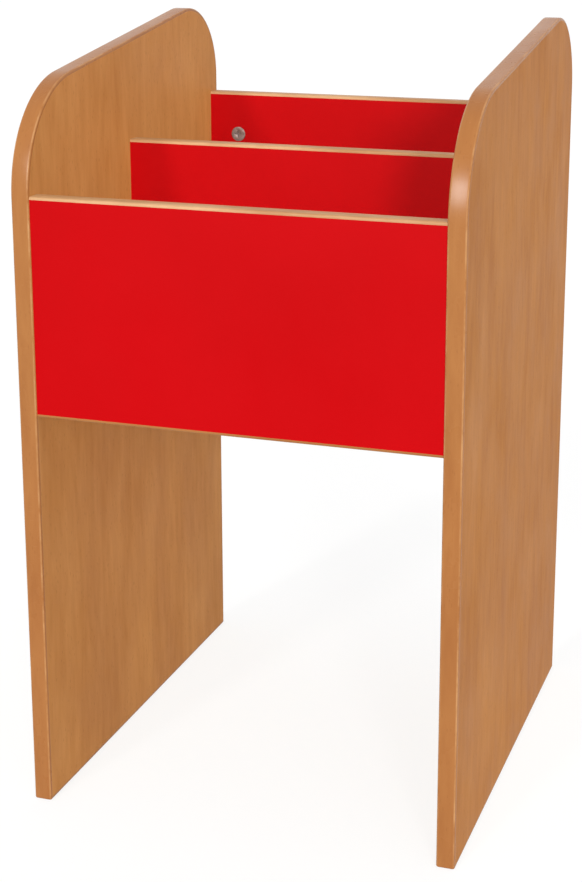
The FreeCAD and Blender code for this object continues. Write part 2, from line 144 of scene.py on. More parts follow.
class Workpiece:
    """One mesh while it is shaped with edit-mode operators; its place is kept in its vertices."""

    def __init__(self, name: str) -> None:
        """Takes over the active object, such as a primitive that was just added.

        Args:
            name: Name of the finished piece.
        """
        self.obj = bpy.context.active_object
        self.obj.name = name
        self.obj.data.name = name
        bpy.ops.object.transform_apply(location=True, rotation=True, scale=True)

    @classmethod
    def rectangle(cls, name: str, centre: Vector, size_x: float, size_y: float) -> "Workpiece":
        """A flat rectangle that faces up.

        Args:
            name: Name of the piece.
            centre: Middle of the rectangle.
            size_x: Size along X.
            size_y: Size along Y.

        Returns:
            The new workpiece.
        """
        clear_selection()
        bpy.ops.mesh.primitive_plane_add(size=1, location=centre)
        bpy.context.active_object.scale = (size_x, size_y, 1)
        return cls(name)

    @classmethod
    def disc(cls, name: str, centre: Vector, radius: float, sides: int) -> "Workpiece":
        """A flat filled circle that faces up, its first corner on the Y side.

        Args:
            name: Name of the piece.
            centre: Middle of the disc.
            radius: Radius of the disc.
            sides: Number of its sides.

        Returns:
            The new workpiece.
        """
        clear_selection()
        bpy.ops.mesh.primitive_circle_add(vertices=sides, radius=radius, fill_type="NGON", location=centre)
        return cls(name)

    @classmethod
    def cylinder(cls, name: str, centre: Triple, radius: float, depth: float, sides: int,
                 turn: Triple) -> "Workpiece":
        """A closed cylinder or prism.

        Args:
            name: Name of the piece.
            centre: Middle of the cylinder.
            radius: Radius of its corners.
            depth: Its whole length.
            sides: Number of its sides.
            turn: Turns about X, Y and Z that lay it down from upright.

        Returns:
            The new workpiece.
        """
        clear_selection()
        bpy.ops.mesh.primitive_cylinder_add(
            vertices=sides, radius=radius, depth=depth, location=centre, rotation=turn)
        return cls(name)

    @classmethod
    def copy_of(cls, name: str, node: str) -> "Workpiece":
        """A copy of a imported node, its facets merged into whole faces.

        Args:
            name: Name of the piece.
            node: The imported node.

        Returns:
            The new workpiece.
        """
        pick(frame["nodes"][node])
        bpy.ops.object.duplicate()
        bpy.ops.object.parent_clear(type="CLEAR_KEEP_TRANSFORM")
        work = cls(name)
        work.select_all()
        bpy.ops.mesh.remove_doubles(threshold=WELD)
        bpy.ops.mesh.dissolve_limited(angle_limit=FLAT)
        return work

    def edit(self) -> None:
        """Opens edit mode on this piece if it isn't open there."""
        if bpy.context.mode != "EDIT_MESH" or bpy.context.active_object != self.obj:
            pick(self.obj)
            bpy.ops.object.mode_set(mode="EDIT")

    def select(self, element: Element, *tests: Test) -> None:
        """Selects each element whose every corner passes one of the tests.

        Args:
            element: What to select.
            *tests: Each says of a corner whether it counts.
        """
        self.edit()
        bpy.ops.mesh.select_mode(type=element.value)
        bpy.ops.mesh.select_all(action="DESELECT")
        mesh = bmesh.from_edit_mesh(self.obj.data)
        items = {Element.VERT: mesh.verts, Element.EDGE: mesh.edges, Element.FACE: mesh.faces}[element]
        for item in items:
            corners = [item] if element is Element.VERT else item.verts
            item.select = any(all(test(corner.co) for corner in corners) for test in tests)
        mesh.select_flush_mode()
        bmesh.update_edit_mesh(self.obj.data)

    def select_rims(self, axis: Axis, rims: Sequence[float], height: float) -> None:
        """Selects the long edges of a flat face that looks up or down.

        Args:
            axis: Axis across the edges.
            rims: Their places on that axis.
            height: Height of the face.
        """
        self.select(Element.EDGE, *[
            lambda point, rim=rim: abs(point[axis.value] - rim) < TOUCH and abs(point.z - height) < TOUCH
            for rim in rims])

    def select_all(self, element: Element = Element.FACE) -> None:
        """Selects the whole mesh.

        Args:
            element: What the selection then picks.
        """
        self.edit()
        bpy.ops.mesh.select_mode(type=element.value)
        bpy.ops.mesh.select_all(action="SELECT")

    def delete_verts(self) -> None:
        """Deletes the selected corners."""
        bpy.ops.mesh.delete(type="VERT")

    def fill(self) -> None:
        """Closes the selected corners with one face."""
        bpy.ops.mesh.edge_face_add()

    def extrude(self, way: Vector) -> None:
        """Extrudes the selection by a vector; the moved end stays selected."""
        bpy.ops.mesh.extrude_region_move(TRANSFORM_OT_translate={"value": way})

    def scale(self, factors: Sequence[float], centre: Vector) -> None:
        """Scales the selection about a point."""
        bpy.ops.transform.resize(value=factors, center_override=centre)

    def spin(self, centre: Vector, turn: float, steps: int) -> None:
        """Sweeps the selection round an axis along X, from the front upwards."""
        bpy.ops.mesh.spin(steps=steps, angle=turn, center=centre, axis=X_AXIS)

    def bevel(self, radius: float, segments: int, corners: bool = False) -> None:
        """Rounds the selected edges, or with corners the selected corners of a flat outline."""
        affect = "VERTICES" if corners else "EDGES"
        bpy.ops.mesh.bevel(offset=radius, segments=segments, profile=0.5, affect=affect, clamp_overlap=False)

    def cut_away(self, cutters: Sequence["Workpiece"]) -> None:
        """Takes the volume of closed cutters out of the piece and removes them.

        Args:
            cutters: The cutters.
        """
        for cutter in cutters:
            cutter.done()
            modifier = self.obj.modifiers.new("cut", "BOOLEAN")
            modifier.operation = "DIFFERENCE"
            modifier.object = cutter.obj
            modifier.solver = "EXACT"
            pick(self.obj)
            bpy.ops.object.modifier_apply(modifier=modifier.name)
            bpy.data.objects.remove(cutter.obj, do_unlink=True)

    def done(self) -> bpy.types.Object:
        """Closes edit mode with doubles merged, normals outward and gentle edges smooth.

        Returns:
            The finished object.
        """
        self.select_all()
        bpy.ops.mesh.remove_doubles(threshold=WELD)
        bpy.ops.mesh.normals_make_consistent(inside=False)
        bpy.ops.object.mode_set(mode="OBJECT")
        bpy.ops.object.shade_smooth_by_angle(angle=GENTLE)
        return self.obj


def turned(name: str, outline: Sequence[tuple[float, float]], sides: int) -> Workpiece:
    """A turned piece about the Z axis.

    Args:
        name: Name of the piece.
        outline: Half outline as (height, radius) pairs, from low to high.
        sides: Sides of its section.

    Returns:
        The piece, its top face selected.
    """
    height, radius = outline[0]
    work = Workpiece.disc(name, Z_AXIS * height, radius, sides)
    work.select_all()
    for next_height, next_radius in outline[1:]:
        work.extrude(Z_AXIS * (next_height - height))
        factor = next_radius / radius
        work.scale((factor, factor, 1), Z_AXIS * next_height)
        height, radius = next_height, next_radius
    return work


def copies(name: str, model: bpy.types.Object, places: Sequence[tuple[Vector, Vector]]) -> bpy.types.Object:
    """Copies of one model, its Z axis laid along each place's direction, as one object.

    Args:
        name: Name of the joined copies.
        model: The model, which is kept.
        places: Origin and direction of each copy.

    Returns:
        The copies in one mesh.
    """
    made = []
    for origin, direction in places:
        copy = model.copy()
        copy.data = model.data.copy()
        bpy.context.scene.collection.objects.link(copy)
        copy.location = origin
        copy.rotation_euler = direction.to_track_quat("Z", "Y").to_euler()
        made.append(copy)
    pick(*made)
    bpy.ops.object.transform_apply(location=True, rotation=True, scale=True)
    bpy.ops.object.join()
    joined = bpy.context.active_object
    joined.name = name
    joined.data.name = name
    return joined


def hand_over(obj: bpy.types.Object, material: bpy.types.Material, slot: str, *nodes: str) -> None:
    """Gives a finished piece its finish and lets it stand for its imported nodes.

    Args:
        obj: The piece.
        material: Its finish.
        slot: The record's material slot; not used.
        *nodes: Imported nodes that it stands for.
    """
    obj.data.materials.clear()
    obj.data.materials.append(material)
    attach(obj, BODY)
    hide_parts(*nodes)
    LOG.info("%s: %d faces, stands for %s", obj.name, len(obj.data.polygons), ", ".join(nodes))


def dress_node(node: str, material: bpy.types.Material) -> None:
    """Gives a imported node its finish."""
    frame["nodes"][node].material_slots[0].material = material
    LOG.info("%s: packed shape with %s", node, material.name)


# ---- strips ------------------------------------------------------------------------------------------------
@dataclass(frozen=True)
class Arris:
    """Rounding of a strip's long corners."""

    radius: float = 0.002
    steps: int = 6


ARRIS = Arris()


def round_section(offset: float, depth: float) -> float:
    """Distance round a strip's section from its middle line.

    Args:
        offset: Signed distance of a point from the strip's middle plane.
        depth: Distance of the point below the strip's outer face.

    Returns:
        The signed distance.
    """
    return math.copysign(abs(offset) + depth, offset)


def map_strip(obj: bpy.types.Object, unroll: Callable[[Vector], tuple[float, float]]) -> None:
    """Lays a UV map on a strip, in metres along and across it.

    Args:
        obj: The strip.
        unroll: Distance of a point along the strip and, from its middle line, round its section.
    """
    layer = obj.data.uv_layers.new(name=STRIP_MAP)
    obj.data.uv_layers.active = layer
    for loop in obj.data.loops:
        layer.data[loop.index].uv = unroll(obj.data.vertices[loop.vertex_index].co)


def straight_strip(name: str, node: str, across: Axis, outwards: int) -> bpy.types.Object:
    """A level strip along X or Y, its outer face up or down, with rounded arrises.

    Args:
        name: Name of the finished strip.
        node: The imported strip, from which size and place are taken.
        across: Axis across the strip.
        outwards: 1 where the outer face looks up, -1 where it looks down.

    Returns:
        The strip, with its UV map.
    """
    low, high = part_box(node)
    middle = (low + high) / 2
    along = Axis.X if across is Axis.Y else Axis.Y
    glued, outer = (low.z, high.z) if outwards > 0 else (high.z, low.z)
    work = Workpiece.rectangle(name, Vector((middle.x, middle.y, glued)), high.x - low.x, high.y - low.y)
    work.select_all()
    work.extrude(Z_AXIS * (outer - glued))
    work.select_rims(across, (low[across.value], high[across.value]), outer)
    work.bevel(ARRIS.radius, ARRIS.steps)
    strip = work.done()
    map_strip(strip, lambda point: (
        point[along.value], round_section(point[across.value] - middle[across.value], abs(point.z - outer))))
    return strip


# ---- shader wiring -----------------------------------------------------------------------------------------
# Turns that lay the figure's own Z along each axis.
FIGURE_TURN = {Axis.X: (0.0, QUARTER_TURN, 0.0), Axis.Y: (QUARTER_TURN, 0.0, 0.0), Axis.Z: (0.0, 0.0, 0.0)}


class Wiring:
    """Adds nodes to one node tree and links them."""

    def __init__(self, tree: bpy.types.NodeTree) -> None:
        """Works on a tree.

        Args:
            tree: A material's tree or a group.
        """
        self.tree = tree

    def feed(self, socket: Socket, value: object) -> None:
        """Feeds a socket.

        Args:
            socket: The input.
            value: The socket that feeds it, or its plain value.
        """
        if isinstance(value, Socket):
            self.tree.links.new(value, socket)
        else:
            socket.default_value = value

    def add(self, kind: str, inputs: dict[str | int, object] | None = None,
            **settings: object) -> bpy.types.Node:
        """Adds a node.

        Args:
            kind: Node type without its ShaderNode prefix.
            inputs: Socket name or index to a value, or to the socket that feeds it.
            **settings: The node's own properties.

        Returns:
            The node.
        """
        node = self.tree.nodes.new("ShaderNode" + kind)
        for name, value in settings.items():
            setattr(node, name, value)
        for key, value in (inputs or {}).items():
            self.feed(node.inputs[key], value)
        return node

    def math(self, operation: str, first: object, second: object = 0.0) -> Socket:
        """Sum, product or other operation on two values."""
        return self.add("Math", {0: first, 1: second}, operation=operation).outputs[0]

    def vector(self, operation: str, first: object, second: object) -> Socket:
        """Sum, product or other operation on two vectors."""
        return self.add("VectorMath", {0: first, 1: second}, operation=operation).outputs[0]

    def mix(self, factor: object, first: object, second: object) -> Socket:
        """Colour between two colours."""
        return self.add("Mix", {0: factor, 6: first, 7: second}, data_type="RGBA").outputs[2]

    def spread(self, value: Socket, span: Span, to: Span = (0.0, 1.0)) -> Socket:
        """Value whose span is moved to another span and clamped there."""
        return self.add("MapRange", {0: value, 1: span[0], 2: span[1], 3: to[0], 4: to[1]}).outputs[0]

    def fade(self, value: Socket, span: Span) -> Socket:
        """1 below the span, 0 above it."""
        return self.spread(value, span, (1.0, 0.0))

    def between(self, mask: Socket, levels: Span) -> Socket:
        """The first level where the mask is 0, the second one where it is 1."""
        return self.spread(mask, (0.0, 1.0), levels)

    def shares(self, *parts: tuple[Socket, float]) -> Socket:
        """Sum of values, of each its share.

        Args:
            *parts: Pairs of a value and its share.

        Returns:
            The sum.
        """
        total, *others = [self.math("MULTIPLY", value, share) for value, share in parts]
        for other in others:
            total = self.math("ADD", total, other)
        return total

    def cells(self, vector: Socket, scale: Triple, feature: str = "F1") -> bpy.types.Node:
        """Random cells, of which so many lie in a metre along each axis."""
        mapped = self.add("Mapping", {"Vector": vector, "Scale": scale}).outputs[0]
        return self.add("TexVoronoi", {"Vector": mapped, "Scale": 1.0}, feature=feature)

    def effect(self, tree: bpy.types.NodeTree, inputs: dict[str, object]) -> bpy.types.NodeOutputs:
        """Places a shared effect with this material's own values.

        Args:
            tree: The effect's node group.
            inputs: Socket name to a value, or to the socket that feeds it.

        Returns:
            The effect's outputs.
        """
        return self.add("Group", inputs, node_tree=tree).outputs

    def place(self) -> Socket:
        """Place on the piece, in metres."""
        return self.add("TexCoord").outputs["Object"]

    def place_along(self, grain: Axis) -> Socket:
        """Place on the piece, turned so that its Z runs along the grain."""
        return self.add("Mapping", {"Vector": self.place(), "Rotation": FIGURE_TURN[grain]}).outputs[0]


@dataclass(frozen=True)
class Noise:
    """One layer of noise.

    Attributes:
        scale: Waves in a metre along each axis.
        detail: Number of finer layers in it.
        rough: Strength of each finer layer.
    """

    scale: Triple
    detail: float
    rough: float = 0.5

    def value(self, wires: Wiring, vector: Socket) -> Socket:
        """The noise at a place, from 0 to 1.

        Args:
            wires: The tree's wiring.
            vector: The place.

        Returns:
            The noise.
        """
        mapped = wires.add("Mapping", {"Vector": vector, "Scale": self.scale}).outputs[0]
        inputs = {"Vector": mapped, "Scale": 1.0, "Detail": self.detail, "Roughness": self.rough}
        return wires.add("TexNoise", inputs).outputs[0]


@dataclass(frozen=True)
class Relief:
    """Fine relief of a surface.

    Attributes:
        strength: Share of it that shows.
        depth: Its height in metres.
    """

    strength: float
    depth: float

    def normal(self, wires: Wiring, height: Socket) -> Socket:
        """The normal that the relief gives."""
        inputs = {"Strength": self.strength, "Distance": self.depth, "Height": height}
        return wires.add("Bump", inputs).outputs[0]


# ---- shared effects ----------------------------------------------------------------------------------------
class Effect:
    """One shared effect under construction, as a node group."""

    def __init__(self, name: str, inputs: dict[str, str], outputs: Sequence[str]) -> None:
        """Makes an empty group.

        Args:
            name: Name of the group.
            inputs: Socket name to socket type.
            outputs: Names of the float outputs.
        """
        tree = bpy.data.node_groups.new(name, "ShaderNodeTree")
        for socket, kind in inputs.items():
            tree.interface.new_socket(name=socket, in_out="INPUT", socket_type="NodeSocket" + kind)
        for socket in outputs:
            tree.interface.new_socket(name=socket, in_out="OUTPUT", socket_type="NodeSocketFloat")
        self.tree = tree
        self.wires = Wiring(tree)
        self.inputs = tree.nodes.new("NodeGroupInput").outputs
        self.results = tree.nodes.new("NodeGroupOutput").inputs


@dataclass(frozen=True)
class BeechFigure:
    """Shared effect: the figure of beech, whose grain runs along the vector's Z.

    Attributes:
        drift_scale: Waves in a metre of the grain's slow wander.
        drift_detail: Finer layers of the wander.
        drift_middle: The wander's mean, which is taken off.
        drift_reach: How far the grain wanders along each axis.
        bands: Broad bands of early and late wood.
        streaks: Narrow streaks in the bands.
        cloud: Slow change of tone over the board.
        tone_span: Part of their sum that goes from dark to light.
        fibre: Fine pores.
        fibre_span: Part of the pores' noise that counts.
        ray_scale: Cells in a metre, of which some hold a ray fleck.
        ray_span: Distance from a cell's middle over which its fleck fades.
        ray_choice: Span of the cells' random values over which flecks come in.
    """

    drift_scale: float = 4.0
    drift_detail: float = 2.0
    drift_middle: Triple = (0.5, 0.5, 0.5)
    drift_reach: Triple = (0.03, 0.03, 0.0)
    bands: Noise = Noise((46.0, 46.0, 7.0), 2.0)
    band_share: float = 0.32
    streaks: Noise = Noise((150.0, 150.0, 22.0), 3.0, 0.6)
    streak_share: float = 0.30
    cloud: Noise = Noise((13.0, 13.0, 6.0), 3.0)
    cloud_share: float = 0.38
    tone_span: Span = (0.36, 0.64)
    fibre: Noise = Noise((1500.0, 1500.0, 45.0), 2.0)
    fibre_span: Span = (0.3, 0.7)
    ray_scale: Triple = (420.0, 420.0, 95.0)
    ray_span: Span = (0.10, 0.24)
    ray_choice: Span = (0.45, 0.60)

    def build(self) -> bpy.types.NodeTree:
        """Builds the node group.

        Returns:
            A group that puts out the broad tone, the fine fibres and the small ray flecks.
        """
        effect = Effect("beech_figure", {"Vector": "Vector"}, ("Tone", "Fibre", "Fleck"))
        wires, place = effect.wires, effect.inputs["Vector"]
        wander = {"Vector": place, "Scale": self.drift_scale, "Detail": self.drift_detail}
        drift = wires.add("TexNoise", wander)
        centred = wires.vector("SUBTRACT", drift.outputs["Color"], self.drift_middle)
        vector = wires.vector("ADD", place, wires.vector("MULTIPLY", centred, self.drift_reach))
        tone = wires.shares((self.bands.value(wires, vector), self.band_share),
                            (self.streaks.value(wires, vector), self.streak_share),
                            (self.cloud.value(wires, vector), self.cloud_share))
        fibre = self.fibre.value(wires, vector)
        rays = wires.cells(vector, self.ray_scale).outputs
        near = wires.fade(rays["Distance"], self.ray_span)
        chosen = wires.spread(rays["Color"], self.ray_choice)
        wires.feed(effect.results["Tone"], wires.spread(tone, self.tone_span))
        wires.feed(effect.results["Fibre"], wires.spread(fibre, self.fibre_span))
        wires.feed(effect.results["Fleck"], wires.math("MULTIPLY", near, chosen))
        return effect.tree


@dataclass(frozen=True)
class HandlingMarks:
    """Shared effect: the uneven polish that hands, cloths and books leave on a surface.

    Attributes:
        smudge: Soft smudges.
        smudge_span: Part of their noise that counts.
        hair: Stretched noise whose crests are the scratches.
        hair_span: Crests that show.
        region: Slow noise that says where scratches gather.
        region_span: Part of that noise over which they come in.
    """

    smudge: Noise = Noise((14.0, 14.0, 9.0), 5.0, 0.62)
    smudge_span: Span = (0.35, 0.68)
    hair: Noise = Noise((60.0, 340.0, 900.0), 1.0)
    hair_span: Span = (0.68, 0.74)
    region: Noise = Noise((7.0, 7.0, 7.0), 1.0)
    region_span: Span = (0.50, 0.66)

    def build(self) -> bpy.types.NodeTree:
        """Builds the node group.

        Returns:
            A group that puts out soft smudges and hair-fine scratches.
        """
        effect = Effect("handling_marks", {"Vector": "Vector"}, ("Smudge", "Scratch"))
        wires, place = effect.wires, effect.inputs["Vector"]
        smudge = wires.spread(self.smudge.value(wires, place), self.smudge_span)
        hair = wires.spread(self.hair.value(wires, place), self.hair_span)
        region = wires.spread(self.region.value(wires, place), self.region_span)
        wires.feed(effect.results["Smudge"], smudge)
        wires.feed(effect.results["Scratch"], wires.math("MULTIPLY", hair, region))
        return effect.tree


@dataclass(frozen=True)
class ChipboardCore:
    """Shared effect: pressed wood chips, as the drillings show them.

    Attributes:
        chip_scale: Chips in a metre along each axis.
        gap_span: Distance from a chip's rim over which the gap fades.
    """

    chip_scale: Triple = (420.0, 300.0, 700.0)
    gap_span: Span = (0.0, 0.12)

    def build(self) -> bpy.types.NodeTree:
        """Builds the node group.

        Returns:
            A group that puts out the tone of each chip and the gaps between chips.
        """
        effect = Effect("chipboard_core", {"Vector": "Vector"}, ("Chip", "Gap"))
        wires, place = effect.wires, effect.inputs["Vector"]
        chips = wires.cells(place, self.chip_scale).outputs
        rims = wires.cells(place, self.chip_scale, feature="DISTANCE_TO_EDGE").outputs
        wires.feed(effect.results["Chip"], chips["Color"])
        wires.feed(effect.results["Gap"], wires.fade(rims["Distance"], self.gap_span))
        return effect.tree


@dataclass(frozen=True)
class ArrisWear:
    """Shared effect: patchy rubbing along a strip's two arrises.

    Attributes:
        line_span: Distance from the arris over which the rubbing fades.
        patches: Noise that breaks the rubbed line up.
        patch_span: Part of that noise over which the rubbing comes in.
    """

    line_span: Span = (0.0004, 0.0016)
    patches: Noise = Noise((30.0, 30.0, 30.0), 4.0, 0.65)
    patch_span: Span = (0.38, 0.66)

    def build(self) -> bpy.types.NodeTree:
        """Builds the node group.

        Returns:
            A group that takes the distance round the section and puts out the wear.
        """
        effect = Effect("arris_wear", {"Vector": "Vector", "Round": "Float", "Arris": "Float"}, ("Wear",))
        wires = effect.wires
        away = wires.math("SUBTRACT", wires.math("ABSOLUTE", effect.inputs["Round"]), effect.inputs["Arris"])
        line = wires.fade(wires.math("ABSOLUTE", away), self.line_span)
        patches = wires.spread(self.patches.value(wires, effect.inputs["Vector"]), self.patch_span)
        wires.feed(effect.results["Wear"], wires.math("MULTIPLY", line, patches))
        return effect.tree


class Effects:
    """The shared effects, each built once."""

    def __init__(self) -> None:
        """Builds the node groups."""
        self.beech = BeechFigure().build()
        self.marks = HandlingMarks().build()
        self.chipboard = ChipboardCore().build()
        self.wear = ArrisWear().build()


# ---- finishes ----------------------------------------------------------------------------------------------
class Paint(Wiring):
    """One material while its finish is wired, with the shared effects at hand."""

    def __init__(self, name: str, effects: Effects) -> None:
        """Makes the material with a plain Principled shader.

        Args:
            name: Name of the material.
            effects: The shared effects.
        """
        self.material = bpy.data.materials.new(name)
        self.material.use_nodes = True
        super().__init__(self.material.node_tree)
        self.effects = effects

    def cover(self, colour: Socket, roughness: Socket, normal: Socket,
              plain: dict[str, float] | None = None) -> bpy.types.Material:
        """Feeds the shader.

        Args:
            colour: Colour over the surface.
            roughness: Roughness over the surface.
            normal: Normal over the surface.
            plain: Shader input to a value that is the same all over.

        Returns:
            The material.
        """
        shader = self.tree.nodes["Principled BSDF"]
        varied = {"Base Color": colour, "Roughness": roughness, "Normal": normal}
        for name, value in {**varied, **(plain or {})}.items():
            self.feed(shader.inputs[name], value)
        return self.material


@dataclass(frozen=True)
class HandledGloss:
    """How handling varies a surface's roughness.

    Attributes:
        polish: Roughness that the most rubbed places lose.
        dulling: Roughness that the dullest places gain.
        scratch: Roughness that a scratch adds.
    """

    polish: float
    dulling: float
    scratch: float

    def roughness(self, paint: Paint, plain: float, *more: tuple[Socket, float]) -> Socket:
        """Roughness over the surface.

        Args:
            paint: The material.
            plain: Roughness of the untouched surface.
            *more: Pairs of a further mask and the roughness that it adds.

        Returns:
            The roughness.
        """
        marks = paint.effect(paint.effects.marks, {"Vector": paint.place()})
        smudged = paint.between(marks["Smudge"], (plain - self.polish, plain + self.dulling))
        return paint.shares((smudged, 1.0), (marks["Scratch"], self.scratch), *more)


@dataclass(frozen=True)
class BeechLook:
    """Colours of the beech figure on laminate, edging or bare wood."""

    light: Colour
    dark: Colour
    fleck: Colour
    fleck_strength: float = 0.5
    fibre_strength: float = 0.22

    def colour(self, paint: Paint, vector: Socket) -> tuple[Socket, Socket]:
        """Colour and height of the figure.

        Args:
            paint: The material.
            vector: Place on the piece, grain along Z.

        Returns:
            The colour and a height for a bump.
        """
        figure = paint.effect(paint.effects.beech, {"Vector": vector})
        tone = paint.mix(figure["Tone"], self.dark, self.light)
        tone = paint.mix(paint.math("MULTIPLY", figure["Fibre"], self.fibre_strength), tone, self.dark)
        fleck = paint.math("MULTIPLY", figure["Fleck"], self.fleck_strength)
        return paint.mix(fleck, tone, self.fleck), paint.math("SUBTRACT", figure["Fibre"], fleck)


@dataclass(frozen=True)
class PlainLook:
    """A one-colour print with the faint cloudiness of pressed paper.

    Attributes:
        cloud: Slow change of tone.
        grit: Grain of the pressed face.
        mottle_span: Part of their sum that goes from dark to light.
    """

    light: Colour
    dark: Colour
    cloud: Noise = Noise((6.0, 6.0, 6.0), 3.0, 0.55)
    cloud_share: float = 0.75
    grit: Noise = Noise((1100.0, 1100.0, 1100.0), 2.0)
    grit_share: float = 0.25
    mottle_span: Span = (0.35, 0.65)

    def colour(self, paint: Paint, vector: Socket) -> tuple[Socket, Socket]:
        """Colour and height of the print.

        Args:
            paint: The material.
            vector: Place on the piece.

        Returns:
            The colour and a height for a bump.
        """
        grit = self.grit.value(paint, vector)
        mottle = paint.shares((self.cloud.value(paint, vector), self.cloud_share), (grit, self.grit_share))
        return paint.mix(paint.spread(mottle, self.mottle_span), self.dark, self.light), grit


@dataclass(frozen=True)
class BoardFinish:
    """Melamine-faced chipboard: a printed skin on each face of a core that only drillings show.

    Attributes:
        bounce: Colour with which the face lights its neighbours.
        skin: Thickness of the printed skin.
        gap_darkness: How dark the gaps between chips are.
    """

    name: str
    slot: str
    look: BeechLook | PlainLook
    roughness: float
    specular: float
    bounce: Colour
    skin: float = 0.0004
    core_light: Colour = srgb(205, 172, 126)
    core_dark: Colour = srgb(150, 112, 70)
    core_roughness: float = 0.9
    gap_darkness: float = 0.6
    gloss: HandledGloss = HandledGloss(polish=0.05, dulling=0.07, scratch=0.1)
    relief: Relief = Relief(0.06, 0.0002)

    def core(self, paint: Paint) -> Socket:
        """Colour of the pressed chips.

        Args:
            paint: The material.

        Returns:
            The colour.
        """
        chips = paint.effect(paint.effects.chipboard, {"Vector": paint.place()})
        tone = paint.mix(chips["Chip"], self.core_dark, self.core_light)
        return paint.mix(paint.math("MULTIPLY", chips["Gap"], self.gap_darkness), tone, self.core_dark)

    def below_skin(self, paint: Paint, node: str, thickness: Axis) -> Socket:
        """Mask of the core.

        Args:
            paint: The material.
            node: The board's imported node.
            thickness: Axis across the board.

        Returns:
            1 inside the board, 0 on its two faces.
        """
        low, high = (corner[thickness.value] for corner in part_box(node))
        across = paint.add("SeparateXYZ", {0: paint.place()}).outputs[thickness.value]
        depth = paint.math("ABSOLUTE", paint.math("SUBTRACT", across, (low + high) / 2))
        return paint.math("LESS_THAN", depth, (high - low) / 2 - self.skin)

    def material(self, effects: Effects, node: str, thickness: Axis, grain: Axis) -> bpy.types.Material:
        """The finish for one board.

        Args:
            effects: The shared effects.
            node: The board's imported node.
            thickness: Axis across the board.
            grain: Axis of its grain.

        Returns:
            The material.
        """
        paint = Paint(self.name + "_" + node, effects)
        face, height = self.look.colour(paint, paint.place_along(grain))
        face = paint.mix(paint.add("LightPath").outputs["Is Diffuse Ray"], face, self.bounce)
        inside = self.below_skin(paint, node, thickness)
        colour = paint.mix(inside, face, self.core(paint))
        handled = self.gloss.roughness(paint, self.roughness)
        rough = paint.math("MAXIMUM", handled, paint.math("MULTIPLY", inside, self.core_roughness))
        normal = self.relief.normal(paint, height)
        return paint.cover(colour, rough, normal, {"Specular IOR Level": self.specular})


@dataclass(frozen=True)
class EdgingFinish:
    """Beech-coloured plastic strip whose printed grain runs along the strip.

    Attributes:
        arris_wear_and_reflection_edge: Colour along the arrises: rubbed wear on the beech edging, and on the
            top strips' edging the strip's own brown, where their painted reflection stops.
        arris: Distance round the section, from the middle line, at which an arris lies.
        wear_strength: How much of the arris colour shows.
        wear_dulling: Roughness that the rubbing adds.
    """

    look: BeechLook
    arris_wear_and_reflection_edge: Colour
    name: str = "beech_edging"
    slot: str = "beech_edging"
    roughness: float = 0.26
    specular: float = 0.14
    coat: float = 0.04
    coat_roughness: float = 0.36
    arris: float = 0.0085
    wear_strength: float = 0.45
    wear_dulling: float = 0.15
    gloss: HandledGloss = HandledGloss(polish=0.06, dulling=0.08, scratch=0.12)
    relief: Relief = Relief(0.05, 0.0002)

    def material(self, effects: Effects) -> bpy.types.Material:
        """The finish, which reads each strip's UV map in metres along and across.

        Args:
            effects: The shared effects.

        Returns:
            The material.
        """
        paint = Paint(self.name, effects)
        uv = paint.add("SeparateXYZ", {0: paint.add("UVMap", uv_map=STRIP_MAP).outputs[0]}).outputs
        along, across = uv[0], uv[1]
        place = paint.add("CombineXYZ", {0: across, 2: along}).outputs[0]
        printed, height = self.look.colour(paint, place)
        rubbing = {"Vector": paint.place(), "Round": across, "Arris": self.arris}
        wear = paint.effect(effects.wear, rubbing)["Wear"]
        # Along the arrises: rubbed wear on the beech edging; on the top strips' edging the strip's own brown,
        # where their painted reflection stops.
        colour = paint.mix(paint.math("MULTIPLY", wear, self.wear_strength), printed, self.arris_wear_and_reflection_edge)
        rough = self.gloss.roughness(paint, self.roughness, (wear, self.wear_dulling))
        plain = {"Specular IOR Level": self.specular, "Coat Weight": self.coat,
                 "Coat Roughness": self.coat_roughness}
        return paint.cover(colour, rough, self.relief.normal(paint, height), plain)


@dataclass(frozen=True)
class MetalFinish:
    """Cast or turned metal with an uneven plating.

    Attributes:
        bright: Colour of the bright places of the plating.
        dull: Colour of its dull places.
        roughness: Roughness between the two.
        blotch: Noise that parts bright places from dull ones.
        blotch_span: Part of that noise that counts.
        pits: Noise of the small pits.
        dull_gain: Roughness that dull places gain.
        bright_loss: Roughness that bright places lose.
        scratch: Roughness that a scratch adds.
    """

    name: str
    slot: str
    bright: Colour
    dull: Colour
    roughness: float
    metallic: float
    blotch: Noise = Noise((320.0, 320.0, 320.0), 4.0, 0.6)
    blotch_span: Span = (0.3, 0.7)
    pits: Noise = Noise((2600.0, 2600.0, 2600.0), 2.0)
    dull_gain: float = 0.12
    bright_loss: float = 0.06
    scratch: float = 0.1
    relief: Relief = Relief(0.25, 0.0001)

    def material(self, effects: Effects) -> bpy.types.Material:
        """The finish.

        Args:
            effects: The shared effects.

        Returns:
            The material.
        """
        paint = Paint(self.name, effects)
        place = paint.place()
        blotch = paint.spread(self.blotch.value(paint, place), self.blotch_span)
        gloss = paint.between(blotch, (self.roughness + self.dull_gain, self.roughness - self.bright_loss))
        scratch = paint.effect(effects.marks, {"Vector": place})["Scratch"]
        rough = paint.shares((gloss, 1.0), (scratch, self.scratch))
        pitted = self.relief.normal(paint, self.pits.value(paint, place))
        colour = paint.mix(blotch, self.dull, self.bright)
        return paint.cover(colour, rough, pitted, {"Metallic": self.metallic})


